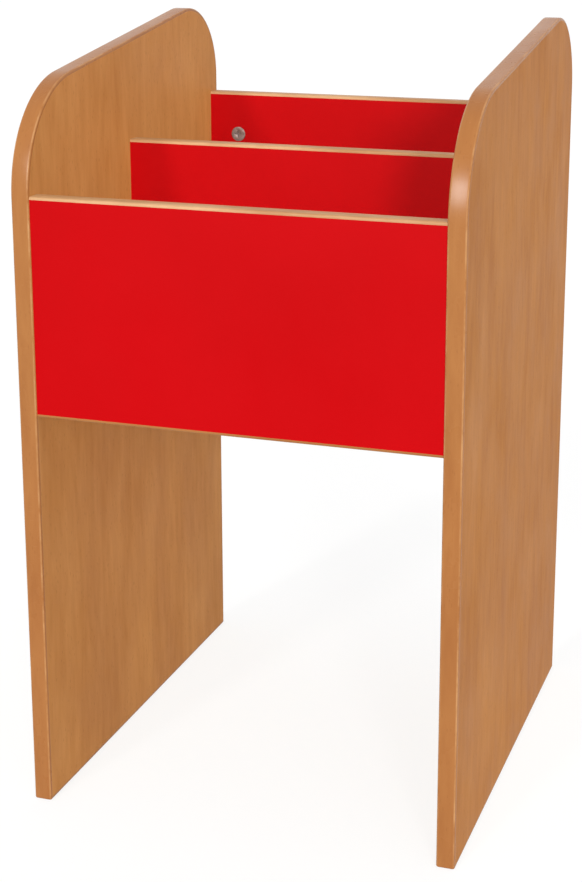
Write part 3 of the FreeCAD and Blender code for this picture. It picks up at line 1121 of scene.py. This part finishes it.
@dataclass(frozen=True)
class DowelFinish:
    """Bare beech of the dowels, grain along each dowel.

    Attributes:
        roughness: Roughness between the fibres and on them.
    """

    look: BeechLook
    slot: str = "dowel_wood"
    roughness: Span = (0.75, 0.62)
    relief: Relief = Relief(0.3, 0.0002)

    def material(self, effects: Effects, grain: Axis) -> bpy.types.Material:
        """The finish for dowels that lie along one axis.

        Args:
            effects: The shared effects.
            grain: Axis along the dowels.

        Returns:
            The material.
        """
        paint = Paint("bare_beech_along_" + grain.name.lower(), effects)
        colour, height = self.look.colour(paint, paint.place_along(grain))
        rough = paint.between(height, self.roughness)
        return paint.cover(colour, rough, self.relief.normal(paint, height))


BEECH_PRINT = BeechLook(light=srgb(197, 132, 67), dark=srgb(175, 110, 50), fleck=srgb(141, 84, 36))
# Paler print for the left end: painted light on its shaded inner face.
PAINTED_LIGHT_BEECH_PRINT = BeechLook(light=srgb(207, 147, 86), dark=srgb(185, 124, 66), fleck=srgb(150, 96, 48))
# Paler print for the panels' top strips: a painted reflection of the white studio on their top faces.
PAINTED_REFLECTION_PRINT = BeechLook(light=srgb(218, 174, 130), dark=srgb(176, 124, 78), fleck=srgb(150, 98, 58),
                        fleck_strength=0.2, fibre_strength=0.2)
STRIP_PRINT = BeechLook(light=srgb(175, 117, 65), dark=srgb(160, 101, 53), fleck=srgb(126, 74, 36),
                        fleck_strength=0.25, fibre_strength=0.15)
BARE_BEECH = BeechLook(light=srgb(214, 178, 132), dark=srgb(188, 146, 100), fleck=srgb(146, 100, 60))
RED_PRINT = PlainLook(light=srgb(192, 4, 11), dark=srgb(186, 3, 8))
BEECH_BOARD = BoardFinish("beech_laminate", "beech_board", BEECH_PRINT, roughness=0.5, specular=0.06,
                          bounce=srgb(236, 208, 172))
# The left end's board: the same laminate, with painted light in its paler print.
PAINTED_LIGHT_BEECH_BOARD = replace(BEECH_BOARD, name="pale_beech_laminate", look=PAINTED_LIGHT_BEECH_PRINT)
RED_BOARD = BoardFinish("red_laminate", "red_board", RED_PRINT, roughness=0.5, specular=0.04,
                        bounce=srgb(240, 215, 196))
BEECH_EDGING = EdgingFinish(STRIP_PRINT, arris_wear_and_reflection_edge=srgb(222, 176, 126))
# Edging of the top strips: its paler print is a painted reflection, and along the arrises the strip's own
# brown comes back where that painted reflection stops.
PAINTED_REFLECTION_EDGING = replace(BEECH_EDGING, look=PAINTED_REFLECTION_PRINT, arris_wear_and_reflection_edge=srgb(172, 114, 64), name="cream_beech_edging",
                       roughness=0.5, specular=0.12, coat=0.0)
CAM_ZINC = MetalFinish("cam_zinc", "cam_metal", bright=srgb(152, 132, 127), dull=srgb(118, 101, 96),
                       roughness=0.5, metallic=0.5)
BOLT_STEEL = MetalFinish("bolt_steel", "bolt_steel", bright=srgb(205, 205, 210), dull=srgb(160, 160, 168),
                         roughness=0.32, metallic=1.0)
BARE_DOWEL = DowelFinish(BARE_BEECH)


# ---- places of the fittings --------------------------------------------------------------------------------
@dataclass(frozen=True)
class Fittings:
    """Sizes and places that cams, bolts and dowels share.

    Attributes:
        cam_setback: Cam's centre from the end of its panel.
        cam_edge_distance: Cam's centre from the panel's top or lower edge.
        corner_distance: Outer dowels of a row from the corners of the base.
    """

    cam_setback: float = 0.034
    cam_edge_distance: float = 0.048
    corner_distance: float = 0.060
    screw_radius: float = 0.0025
    screw_hole_depth: float = 0.012
    dowel_radius: float = 0.004
    dowel_hole_depth: float = 0.012

    def row(self, low: float, high: float) -> list[float]:
        """Three even places between two corners."""
        return [low + self.corner_distance, (low + high) / 2, high - self.corner_distance]

    def base_dowels(self) -> list[tuple[float, float]]:
        """Places (y, z) of the dowels in the ends of the base."""
        low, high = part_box("base_board")
        return [(y, (low.z + high.z) / 2) for y in self.row(low.y, high.y)]


FITTINGS = Fittings()


@dataclass(frozen=True)
class UprightPanel:
    """A red board between the ends, with its strips, cams, bolts and dowels.

    Attributes:
        name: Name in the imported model.
        cam_side: 1 where the cams face the rear, -1 where they face the front.
        lower_strip: Whether its lower edge shows and carries a strip.
    """

    name: str
    cam_side: int
    lower_strip: bool

    @property
    def middle_y(self) -> float:
        """Middle plane of the board."""
        low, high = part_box(self.name + "_board")
        return (low.y + high.y) / 2

    @property
    def low(self) -> float:
        """Height of the lower edge."""
        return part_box(self.name + ("_lower_edging" if self.lower_strip else "_board"))[0].z

    @property
    def high(self) -> float:
        """Height of the top edge."""
        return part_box(self.name + "_top_edging")[1].z

    @property
    def cam_heights(self) -> list[float]:
        """Heights of the cams at each end."""
        return [self.low + FITTINGS.cam_edge_distance, self.high - FITTINGS.cam_edge_distance]

    @property
    def dowel_height(self) -> float:
        """Height of the dowel at each end."""
        return sum(self.cam_heights) / 2

    @property
    def cam_centres(self) -> list[Vector]:
        """Where the bolts' balls lie."""
        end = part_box(self.name + "_board")[1].x - FITTINGS.cam_setback
        return [Vector((x, self.middle_y, z)) for x in (-end, end) for z in self.cam_heights]

    def dress(self, effects: Effects, top_edging: bpy.types.Material,
              lower_edging: bpy.types.Material) -> None:
        """Gives the board its finish and makes the strips.

        Args:
            effects: The shared effects.
            top_edging: Finish of the top strip, whose paler print is a painted reflection.
            lower_edging: Finish of the lower strip.
        """
        board, top, lower = (self.name + part for part in ("_board", "_top_edging", "_lower_edging"))
        dress_node(board, RED_BOARD.material(effects, board, Axis.Y, Axis.X))
        hand_over(straight_strip(top + "_rounded", top, Axis.Y, 1), top_edging, BEECH_EDGING.slot, top)
        if self.lower_strip:
            strip = straight_strip(lower + "_rounded", lower, Axis.Y, -1)
            hand_over(strip, lower_edging, BEECH_EDGING.slot, lower)


PANELS = (UprightPanel("front_panel", 1, True), UprightPanel("middle_divider", 1, False),
          UprightPanel("rear_panel", -1, True))


# ---- ends --------------------------------------------------------------------------------------------------
@dataclass
class EndOutline:
    """Side outline of both ends, in the YZ plane, with true arcs.

    Attributes:
        front_radius: Curve from the front edge into the top.
        rear_radius: Curve from the top into the rear edge.
        slope: Rise of the top towards the rear.
        arc_steps: Steps of each curve.
        half_depth: Half the depth of the end.
        front_centre: Centre of the front curve.
        rear_centre: Centre of the rear curve.
        top_way: Direction of the straight top, towards the rear.
        top_run: Length of the straight top.
    """

    front_radius: float = 0.111
    rear_radius: float = 0.080
    slope: float = math.radians(8.4)
    arc_steps: int = 36
    half_depth: float = field(init=False)
    front_centre: Vector = field(init=False)
    rear_centre: Vector = field(init=False)
    top_way: Vector = field(init=False)
    top_run: float = field(init=False)

    def __post_init__(self) -> None:
        """Works out both curves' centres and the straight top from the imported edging's depth and height.

        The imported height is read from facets, so it is rounded to the tenth of a millimetre.
        """
        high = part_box("left_end_edging")[1]
        self.half_depth = round(high.y, 6)
        height = round(high.z, 4)
        self.rear_centre = Vector((0, self.half_depth - self.rear_radius, height - self.rear_radius))
        y = -self.half_depth + self.front_radius
        rise = self.rear_radius - self.front_radius + (y - self.rear_centre.y) * math.sin(self.slope)
        self.front_centre = Vector((0, y, self.rear_centre.z + rise / math.cos(self.slope)))
        self.top_way = Vector((0, math.cos(self.slope), math.sin(self.slope)))
        self.top_run = (self.rear_centre - self.front_centre).dot(self.top_way)

    def sweep(self, work: Workpiece, foot: float) -> None:
        """Carries the selection from the front foot over the top to the rear foot.

        Args:
            work: The piece, with its section at the front foot selected.
            foot: Height of the section.
        """
        work.extrude(Z_AXIS * (self.front_centre.z - foot))
        work.spin(self.front_centre, QUARTER_TURN - self.slope, self.arc_steps)
        work.extrude(self.top_way * self.top_run)
        work.spin(self.rear_centre, QUARTER_TURN + self.slope, self.arc_steps)
        work.extrude(Z_AXIS * (foot - self.rear_centre.z))

    def unroll(self, point: Vector) -> tuple[float, float]:
        """Unrolls the outline into a straight line.

        Args:
            point: A point on the outline or within the curves' radii of it.

        Returns:
            Its distance along the outline from the front foot, and its depth inside the outline.
        """
        front, rear = self.front_centre, self.rear_centre
        top_start = front.z + self.front_radius * (QUARTER_TURN - self.slope)
        rear_start = top_start + self.top_run
        rear_end = rear_start + self.rear_radius * (QUARTER_TURN + self.slope)
        from_front = Vector((0, point.y - front.y, point.z - front.z))
        from_rear = Vector((0, point.y - rear.y, point.z - rear.z))
        if from_front.z < 0 and point.y < 0:
            return point.z, point.y + self.half_depth
        if from_front.dot(self.top_way) < 0:
            turn = math.atan2(from_front.z, -from_front.y)
            return front.z + self.front_radius * turn, self.front_radius - from_front.length
        if from_rear.dot(self.top_way) < 0:
            above = from_rear.cross(self.top_way).length
            return top_start + from_front.dot(self.top_way), self.rear_radius - above
        if from_rear.z > 0:
            turn = QUARTER_TURN + self.slope - math.atan2(from_rear.z, from_rear.y)
            return rear_start + self.rear_radius * turn, self.rear_radius - from_rear.length
        return rear_end + rear.z - point.z, self.half_depth - point.y


class Side(Enum):
    """The two ends, by the sign of their X."""

    LEFT = -1
    RIGHT = 1


@dataclass
class EndPanel:
    """One end: the shaped board, the edging over front, top and rear, and the strip under the foot.

    Attributes:
        hole_sides: Sides of each drilled hole.
        name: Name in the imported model.
        middle_x: Middle plane of the board.
        thickness: Thickness of the board.
        edging: Thickness of the edging.
    """

    side: Side
    outline: EndOutline
    finish: BoardFinish
    hole_sides: int = 32
    name: str = field(init=False)
    middle_x: float = field(init=False)
    thickness: float = field(init=False)
    edging: float = field(init=False)

    def __post_init__(self) -> None:
        """Takes the end's name, middle plane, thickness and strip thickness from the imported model."""
        self.name = self.side.name.lower() + "_end"
        low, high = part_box(self.name + "_board")
        self.middle_x = (low.x + high.x) / 2
        self.thickness = high.x - low.x
        self.edging = low.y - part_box(self.name + "_edging")[0].y

    def board(self) -> Workpiece:
        """The board with true arcs, before it is drilled.

        Its front foot edge is what is left of a rectangle, and that edge is swept along the outline.

        Returns:
            The closed board.
        """
        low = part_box(self.name + "_board")[0]
        start = Vector((self.middle_x, low.y, low.z))
        middle = start - Y_AXIS * self.edging / 2
        work = Workpiece.rectangle(self.name + "_core", middle, self.thickness, self.edging)
        work.select(Element.VERT, lambda point: point.y < middle.y)
        work.delete_verts()
        work.select_all(Element.EDGE)
        self.outline.sweep(work, start.z)
        for side in Side:
            face_x = self.middle_x + side.value * self.thickness / 2
            work.select(Element.VERT, lambda point: abs(point.x - face_x) < TOUCH)
            work.fill()
        work.select(Element.VERT, lambda point: abs(point.z - start.z) < TOUCH)
        work.fill()
        return work

    def drilling(self, y: float, z: float, radius: float, depth: float) -> Workpiece:
        """Cutter for a blind hole from the end's inner face.

        Args:
            y: Place of the hole.
            z: Height of the hole.
            radius: Radius of the hole.
            depth: Depth of the hole.

        Returns:
            The closed cutter, turned by half a side so that none of its corners lies on the plane y = 0.
        """
        face_x = self.middle_x - self.side.value * self.thickness / 2
        turn = (QUARTER_TURN, math.pi / self.hole_sides, QUARTER_TURN)
        return Workpiece.cylinder("drilling", (face_x, y, z), radius, 2 * depth, self.hole_sides, turn)

    def drillings(self) -> list[Workpiece]:
        """Cutters for the bolts' and the dowels' holes.

        Returns:
            The cutters.
        """
        screws = [(panel.middle_y, z) for panel in PANELS for z in panel.cam_heights]
        dowels = [(panel.middle_y, panel.dowel_height) for panel in PANELS] + FITTINGS.base_dowels()
        cutters = [self.drilling(y, z, FITTINGS.screw_radius, FITTINGS.screw_hole_depth) for y, z in screws]
        cutters += [self.drilling(y, z, FITTINGS.dowel_radius, FITTINGS.dowel_hole_depth) for y, z in dowels]
        return cutters

    def round_foot(self, work: Workpiece, towards: int) -> None:
        """Rounds a foot end of the long strip on its three outer sides.

        Args:
            work: The strip, which stops at the rounding's height.
            towards: -1 for the front foot, 1 for the rear foot.
        """
        work.select(Element.FACE, lambda point: abs(point.z - ARRIS.radius) < TOUCH and point.y * towards > 0)
        glued = Vector((self.middle_x, towards * (self.outline.half_depth - self.edging), 0))
        half, thick, height = self.thickness / 2, self.edging, ARRIS.radius
        for step in range(1, ARRIS.steps + 1):
            turn = QUARTER_TURN * step / ARRIS.steps
            inset = ARRIS.radius * (1 - math.cos(turn))
            next_height = ARRIS.radius * (1 - math.sin(turn))
            next_half, next_thick = self.thickness / 2 - inset, self.edging - inset
            work.extrude(Z_AXIS * (next_height - height))
            work.scale((next_half / half, next_thick / thick, 1), glued + Z_AXIS * next_height)
            half, thick, height = next_half, next_thick, next_height

    def unroll(self, point: Vector) -> tuple[float, float]:
        """Distance of a point along the long strip and, from its middle line, round its section."""
        along, depth = self.outline.unroll(point)
        return along, round_section(point.x - self.middle_x, depth)

    def long_strip(self) -> bpy.types.Object:
        """The strip over front, top and rear, with rounded arrises and foot corners.

        Returns:
            The strip, with its UV map.
        """
        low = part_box(self.name + "_edging")[0]
        middle = Vector((self.middle_x, low.y + self.edging / 2, ARRIS.radius))
        work = Workpiece.rectangle(self.name + "_edging_rounded", middle, self.thickness, self.edging)
        work.select(Element.VERT, lambda point: abs(point.y - low.y) < TOUCH)
        work.bevel(ARRIS.radius, ARRIS.steps, corners=True)
        work.select_all()
        self.outline.sweep(work, ARRIS.radius)
        for towards in (-1, 1):
            self.round_foot(work, towards)
        strip = work.done()
        map_strip(strip, self.unroll)
        return strip

    def dress(self, effects: Effects, edging: bpy.types.Material) -> None:
        """Makes the end's pieces and gives them their finishes.

        Args:
            effects: The shared effects.
            edging: Finish of the strips.
        """
        board = self.board()
        board.done()
        board.cut_away(self.drillings())
        finish = self.finish.material(effects, self.name + "_board", Axis.X, Axis.Z)
        hand_over(board.done(), finish, self.finish.slot, self.name + "_board")
        hand_over(self.long_strip(), edging, BEECH_EDGING.slot, self.name + "_edging")
        foot = self.name + "_foot_edging"
        foot_strip = straight_strip(self.name + "_foot_rounded", foot, Axis.X, -1)
        hand_over(foot_strip, edging, BEECH_EDGING.slot, foot)


# ---- fittings ----------------------------------------------------------------------------------------------
@dataclass
class CamSet:
    """The cams of one panel, with eased rims and cross slots and a small arrow towards the open side.

    Attributes:
        rim_radius: Radius of the cam's rim.
        rim_tolerance: How far a rim's corners may lie off that radius.
        face_lift: Cam's outer face from the panel's middle plane.
        cross_reach: Reach of the cross slot from the cam's centre.
        rim_ease: Rounding of the rim.
        slot_ease: Rounding of the slot's edges.
        arrow_place: Middle of the arrow from the cam's centre.
        arrow_size: Radius of the arrow's corners, and its depth.
        centres: Centres of the cams.
        face_y: Place of their outer faces.
    """

    panel: UprightPanel
    rim_radius: float = 0.0083
    rim_tolerance: float = 0.00005
    face_lift: float = 0.0097
    cross_reach: float = 0.0045
    rim_ease: float = 0.00035
    rim_steps: int = 3
    slot_ease: float = 0.00012
    slot_steps: int = 2
    arrow_place: float = 0.0062
    arrow_size: float = 0.0012
    arrow_corners: int = 3
    centres: list[Vector] = field(init=False)
    face_y: float = field(init=False)

    def __post_init__(self) -> None:
        """Takes the cams' centres and the place of their faces from the panel."""
        self.centres = self.panel.cam_centres
        self.face_y = self.panel.middle_y + self.panel.cam_side * self.face_lift

    def reach(self, point: Vector) -> float:
        """Distance of a point on the outer faces from the nearest cam's centre, endless off the faces."""
        flat = [math.hypot(point.x - centre.x, point.z - centre.z) for centre in self.centres]
        return min(flat) if abs(point.y - self.face_y) < TOUCH else math.inf

    def arrow(self, centre: Vector) -> Workpiece:
        """Cutter for a cam's arrow, which points to the middle of the panel.

        Args:
            centre: Centre of the cam.

        Returns:
            The closed cutter.
        """
        inwards = -math.copysign(1, centre.x)
        place = (centre.x + inwards * self.arrow_place, self.face_y, centre.z)
        turn = (QUARTER_TURN, inwards * QUARTER_TURN, 0.0)
        return Workpiece.cylinder("arrow", place, self.arrow_size, self.arrow_size, self.arrow_corners, turn)

    def dress(self, zinc: bpy.types.Material) -> None:
        """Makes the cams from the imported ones.

        Args:
            zinc: Their finish.
        """
        node = self.panel.name + "_cams"
        work = Workpiece.copy_of(node + "_eased", node)
        work.select(Element.EDGE, lambda point: abs(self.reach(point) - self.rim_radius) < self.rim_tolerance)
        work.bevel(self.rim_ease, self.rim_steps)
        work.select(Element.EDGE, lambda point: self.reach(point) < self.cross_reach)
        work.bevel(self.slot_ease, self.slot_steps)
        work.done()
        work.cut_away([self.arrow(centre) for centre in self.centres])
        hand_over(work.done(), zinc, CAM_ZINC.slot, node)


@dataclass
class BoltModel:
    """Cam bolt along Z from the cam's centre: ball, neck, shaft, guide collar and screwed end.

    Attributes:
        ball: Radius of the ball; neck, shaft, collar, screw and screw_root are radii too.
        ball_start: Angle at which the ball's flat end starts, from its middle.
        ball_steps: Steps from there to the neck.
        shaft_start: Where the neck ends.
        pitch: Pitch of the screw's rings.
        flank: Share of the pitch at which a ring starts to rise.
        crest: Shares of the pitch between which a ring is full.
        tip: Radius of the screw's tip as a share of its root.
    """

    ball: float = 0.0030
    ball_start: float = -math.pi / 3
    ball_steps: int = 8
    neck: float = 0.0017
    shaft: float = 0.0035
    shaft_start: float = 0.0090
    collar: float = 0.0038
    collar_length: float = 0.0030
    screw: float = 0.00248
    screw_root: float = 0.0019
    screw_length: float = 0.0110
    pitch: float = 0.0018
    flank: float = 0.3
    crest: Span = (0.55, 0.7)
    tip: float = 0.6
    sides: int = 24

    def ball_outline(self) -> list[tuple[float, float]]:
        """Half outline of the ball as (height, radius) pairs.

        Returns:
            The pairs, from the flat end to the neck.
        """
        sweep = math.acos(self.neck / self.ball) - self.ball_start
        turns = [self.ball_start + sweep * step / self.ball_steps for step in range(self.ball_steps + 1)]
        return [(self.ball * math.sin(turn), self.ball * math.cos(turn)) for turn in turns]

    def outline(self) -> list[tuple[float, float]]:
        """Half outline of the bolt as (height, radius) pairs.

        Returns:
            The pairs, from the ball to the tip.
        """
        joint = FITTINGS.cam_setback
        collar_start = joint - self.collar_length
        points = self.ball_outline()
        points += [(self.shaft_start, self.neck), (self.shaft_start + self.shaft - self.neck, self.shaft)]
        points += [(collar_start, self.shaft), (collar_start, self.collar)]
        points += [(joint, self.collar), (joint, self.screw_root)]
        ring = ((self.flank, self.screw_root), (self.crest[0], self.screw), (self.crest[1], self.screw),
                (1.0, self.screw_root))
        for turn in range(int(self.screw_length / self.pitch)):
            points += [(joint + (turn + share) * self.pitch, radius) for share, radius in ring]
        points.append((joint + self.screw_length, self.screw_root * self.tip))
        return points

    def build(self) -> bpy.types.Object:
        """The bolt."""
        return turned("cam_bolt_model", self.outline(), self.sides).done()


@dataclass
class DowelModel:
    """Fluted dowel along Z, Z = 0 at the joint and the longer part below it.

    Attributes:
        ridge: Radius over the ridges.
        groove: Radius in the grooves as a share of the ridges' radius.
        face_depth: How far the upper part reaches beyond the joint.
        chamfer: Chamfer of both ends.
        flutes: Number of grooves, as many as the holes have corners.
    """

    ridge: float = 0.00397
    groove: float = 0.93
    length: float = 0.030
    face_depth: float = 0.011
    chamfer: float = 0.0008
    flutes: int = 12

    def in_groove(self, point: Vector) -> bool:
        """Whether a corner of the section is the bottom of a groove, as every second one is."""
        return round(math.atan2(point.x, point.y) * self.flutes / math.pi) % 2 == 1

    def build(self) -> bpy.types.Object:
        """The dowel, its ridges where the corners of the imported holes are.

        Returns:
            The dowel.
        """
        low = self.face_depth - self.length
        narrow = 1 - self.chamfer / self.ridge
        work = Workpiece.disc("dowel_model", Z_AXIS * low, self.ridge, 2 * self.flutes)
        work.select(Element.VERT, self.in_groove)
        work.scale((self.groove, self.groove, 1), Z_AXIS * low)
        work.select_all()
        work.scale((narrow, narrow, 1), Z_AXIS * low)
        work.extrude(Z_AXIS * self.chamfer)
        work.scale((1 / narrow, 1 / narrow, 1), Z_AXIS * (low + self.chamfer))
        work.extrude(Z_AXIS * (self.length - 2 * self.chamfer))
        work.extrude(Z_AXIS * self.chamfer)
        work.scale((narrow, narrow, 1), Z_AXIS * self.face_depth)
        return work.done()


class Hardware:
    """All bolts and dowels."""

    def __init__(self, effects: Effects) -> None:
        """Prepares the finishes.

        Args:
            effects: The shared effects.
        """
        self.steel = BOLT_STEEL.material(effects)
        self.wood = {axis: BARE_DOWEL.material(effects, axis) for axis in Axis}

    def bolts(self) -> None:
        """Bolts of the three panels."""
        model = BoltModel().build()
        for panel in PANELS:
            node = panel.name + "_cam_bolts"
            places = [(centre, X_AXIS * math.copysign(1, centre.x)) for centre in panel.cam_centres]
            hand_over(copies(node + "_turned", model, places), self.steel, BOLT_STEEL.slot, node)
        bpy.data.objects.remove(model, do_unlink=True)

    def dowels(self) -> None:
        """Dowels into the ends, of the base's long edges and of the divider's foot."""
        model = DowelModel().build()
        low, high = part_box("base_board")
        middle_z = (low.z + high.z) / 2
        sets = {panel.name + "_end_dowels": [(panel.middle_y, panel.dowel_height)] for panel in PANELS}
        sets["base_end_dowels"] = FITTINGS.base_dowels()
        for node, points in sets.items():
            places = [(Vector((side * high.x, y, z)), X_AXIS * side) for side in (-1, 1) for y, z in points]
            hand_over(copies(node + "_fluted", model, places), self.wood[Axis.X], BARE_DOWEL.slot, node)
        row = FITTINGS.row(low.x, high.x)
        edge_places = [(Vector((x, side * high.y, middle_z)), Y_AXIS * side) for x in row for side in (-1, 1)]
        edge_dowels = copies("base_edge_dowels_fluted", model, edge_places)
        hand_over(edge_dowels, self.wood[Axis.Y], BARE_DOWEL.slot, "base_edge_dowels")
        foot_places = [(Vector((x, 0, high.z)), -Z_AXIS) for x in row]
        foot_dowels = copies("divider_foot_dowels_fluted", model, foot_places)
        hand_over(foot_dowels, self.wood[Axis.Z], BARE_DOWEL.slot, "middle_divider_foot_dowels")
        bpy.data.objects.remove(model, do_unlink=True)


# ---- studio ------------------------------------------------------------------------------------------------
@dataclass(frozen=True)
class CameraPlace:
    """The camera.

    Attributes:
        location: Where it stands.
        azimuth: Its turn from a view along +Y, towards the left.
        dip: Its angle below the horizon.
        roll: Its turn about its own axis.
        lens: Focal length in millimetres.
        sensor: Width of the sensor in millimetres.
        shift: Shift of the frame as a share of its larger side.
        far: Farthest distance that it shows.
    """

    location: Triple = (0.56703, -1.66831, 0.88665)
    azimuth: float = math.radians(17.511)
    dip: float = math.radians(13.549)
    roll: float = math.radians(0.301)
    lens: float = 71.39
    sensor: float = 36.0
    shift: tuple[float, float] = (-0.0692, -0.1395)
    far: float = 100.0

    def build(self) -> None:
        """Adds the camera and makes it the scene's own."""
        data = bpy.data.cameras.new("camera")
        data.lens = self.lens
        data.sensor_width = self.sensor
        data.shift_x, data.shift_y = self.shift
        data.clip_end = self.far
        camera = bpy.data.objects.new("camera", data)
        bpy.context.scene.collection.objects.link(camera)
        turn = Matrix.Rotation(self.azimuth, 4, "Z") @ Matrix.Rotation(QUARTER_TURN - self.dip, 4, "X")
        camera.matrix_world = Matrix.Translation(self.location) @ turn @ Matrix.Rotation(self.roll, 4, "Z")
        bpy.context.scene.camera = camera


def place_light(name: str, data: bpy.types.Light, place: Vector, away: Vector) -> bpy.types.Object:
    """Puts a light in the scene, unseen by the camera.

    Args:
        name: Name of the light.
        data: The light itself.
        place: Where it stands.
        away: Direction in which it shines.

    Returns:
        The light's object.
    """
    light = bpy.data.objects.new(name, data)
    bpy.context.scene.collection.objects.link(light)
    light.location = place
    light.rotation_euler = away.to_track_quat("-Z", "Y").to_euler()
    light.visible_camera = False
    return light


@dataclass(frozen=True)
class Softbox:
    """An oblong soft light that faces a point and shows in glossy faces alone."""

    name: str
    place: Triple
    target: Triple
    width: float
    height: float
    watts: float

    def build(self) -> None:
        """Adds the light."""
        data = bpy.data.lights.new(self.name, "AREA")
        data.shape = "RECTANGLE"
        data.size, data.size_y = self.width, self.height
        data.energy = self.watts
        away = Vector(self.target) - Vector(self.place)
        place_light(self.name, data, Vector(self.place), away).visible_diffuse = False


@dataclass(frozen=True)
class FarLight:
    """A wide soft light so far away that it lights the whole floor evenly.

    Attributes:
        azimuth: Where it stands, from the front towards the right.
        height: Its angle above the horizon.
        spread: Angle that it fills.
        strength: Light on a surface that faces it, in watts per square metre.
        distance: Where its object is put, which doesn't change its light.
    """

    name: str
    azimuth: float
    height: float
    spread: float
    strength: float
    distance: float = 5.0

    def build(self) -> None:
        """Adds the light."""
        data = bpy.data.lights.new(self.name, "SUN")
        data.angle = self.spread
        data.energy = self.strength
        flat = math.cos(self.height)
        across, ahead = math.sin(self.azimuth) * flat, math.cos(self.azimuth) * flat
        source = Vector((across, -ahead, math.sin(self.height)))
        place_light(self.name, data, source * self.distance, -source)


@dataclass(frozen=True)
class Studio:
    """A pale floor, a pale dome and soft lights.

    Attributes:
        floor_size: Side of the square floor.
        floor_light: Paler tone of the floor's speckle.
        floor_dark: Darker tone of the floor's speckle.
        floor_speckle: Noise of the speckle.
        floor_glow: Brightness of the lit share of the floor as it is seen.
        floor_glow_share: Share of what is seen of the floor that no shadow darkens.
        dome_strength: Light from all round.
        dome_white: Strength of the dome where it is seen.
    """

    floor_size: float = 60.0
    floor_light: Colour = (0.61, 0.61, 0.61, 1.0)
    floor_dark: Colour = (0.59, 0.59, 0.59, 1.0)
    floor_speckle: Noise = Noise((40.0, 40.0, 40.0), 3.0)
    floor_glow: float = 1.3
    floor_glow_share: float = 0.62
    dome_strength: float = 0.72
    dome_white: float = 1.0
    lights: tuple[Softbox | FarLight, ...] = (
        Softbox("front_glint", place=(-0.15, -1.6, 1.16), target=(0.2, -0.2, 0.65), width=0.42, height=0.56,
                watts=24.0),
        FarLight("key", azimuth=math.radians(28), height=math.radians(14), spread=math.radians(10),
                 strength=1.4),
        FarLight("left_key", azimuth=math.radians(-14), height=math.radians(24), spread=math.radians(7),
                 strength=0.9),
        FarLight("side_fill", azimuth=math.radians(45), height=math.radians(14), spread=math.radians(18),
                 strength=0.3),
    )

    def seen_directly(self, wires: Wiring) -> Socket:
        """Mask of the rays that show a surface rather than light one.

        Args:
            wires: Wiring of the world or of a material.

        Returns:
            1 for camera, glossy and transmission rays, 0 for the others.
        """
        path = wires.add("LightPath").outputs
        seen = wires.math("MAXIMUM", path["Is Camera Ray"], path["Is Glossy Ray"])
        return wires.math("MAXIMUM", seen, path["Is Transmission Ray"])

    def build_world(self) -> None:
        """White where it is seen, and a softer dome where it lights."""
        world = bpy.data.worlds.new("pale_dome")
        world.use_nodes = True
        bpy.context.scene.world = world
        wires = Wiring(world.node_tree)
        background = world.node_tree.nodes["Background"].inputs
        background["Color"].default_value = WHITE
        strength = wires.between(self.seen_directly(wires), (self.dome_strength, self.dome_white))
        wires.feed(background["Strength"], strength)

    def build_floor(self) -> None:
        """A wide pale floor that keeps the bin's shadow."""
        floor = Workpiece.rectangle("floor", Vector(), self.floor_size, self.floor_size).done()
        material = bpy.data.materials.new("pale_floor")
        material.use_nodes = True
        wires = Wiring(material.node_tree)
        wires.tree.nodes.remove(wires.tree.nodes["Principled BSDF"])
        speckle = self.floor_speckle.value(wires, wires.place())
        diffuse = wires.add("BsdfDiffuse", {"Color": wires.mix(speckle, self.floor_dark, self.floor_light)})
        glow = wires.add("Emission", {"Color": WHITE, "Strength": self.floor_glow})
        share = wires.math("MULTIPLY", self.seen_directly(wires), self.floor_glow_share)
        both = wires.add("MixShader", {0: share, 1: diffuse.outputs[0], 2: glow.outputs[0]})
        wires.feed(wires.tree.nodes["Material Output"].inputs["Surface"], both.outputs[0])
        floor.data.materials.append(material)

    def build(self) -> None:
        """Builds the world, the floor, the lights and the view settings."""
        self.build_world()
        self.build_floor()
        for light in self.lights:
            light.build()
        bpy.context.scene.view_settings.view_transform = "Standard"


def main() -> None:
    """Dresses the bin piece by piece and sets the studio up."""
    logging.basicConfig(level=logging.INFO, format="%(name)s: %(message)s")
    effects = Effects()
    edging = BEECH_EDGING.material(effects)
    # Edging of the top strips, with a painted reflection in its paler print.
    painted_reflection_edging = PAINTED_REFLECTION_EDGING.material(effects)
    outline = EndOutline()
    # The left end gets the paler print, painted light on its shaded inner face; the right end the plain beech
    # print.
    for side, finish in ((Side.LEFT, PAINTED_LIGHT_BEECH_BOARD), (Side.RIGHT, BEECH_BOARD)):
        EndPanel(side, outline, finish).dress(effects, edging)
    zinc = CAM_ZINC.material(effects)
    for panel in PANELS:
        panel.dress(effects, painted_reflection_edging, edging)
        CamSet(panel).dress(zinc)
    dress_node("base_board", BEECH_BOARD.material(effects, "base_board", Axis.Z, Axis.X))
    hardware = Hardware(effects)
    hardware.bolts()
    hardware.dowels()
    CameraPlace().build()
    Studio().build()


if __name__ == "__main__":
    main()
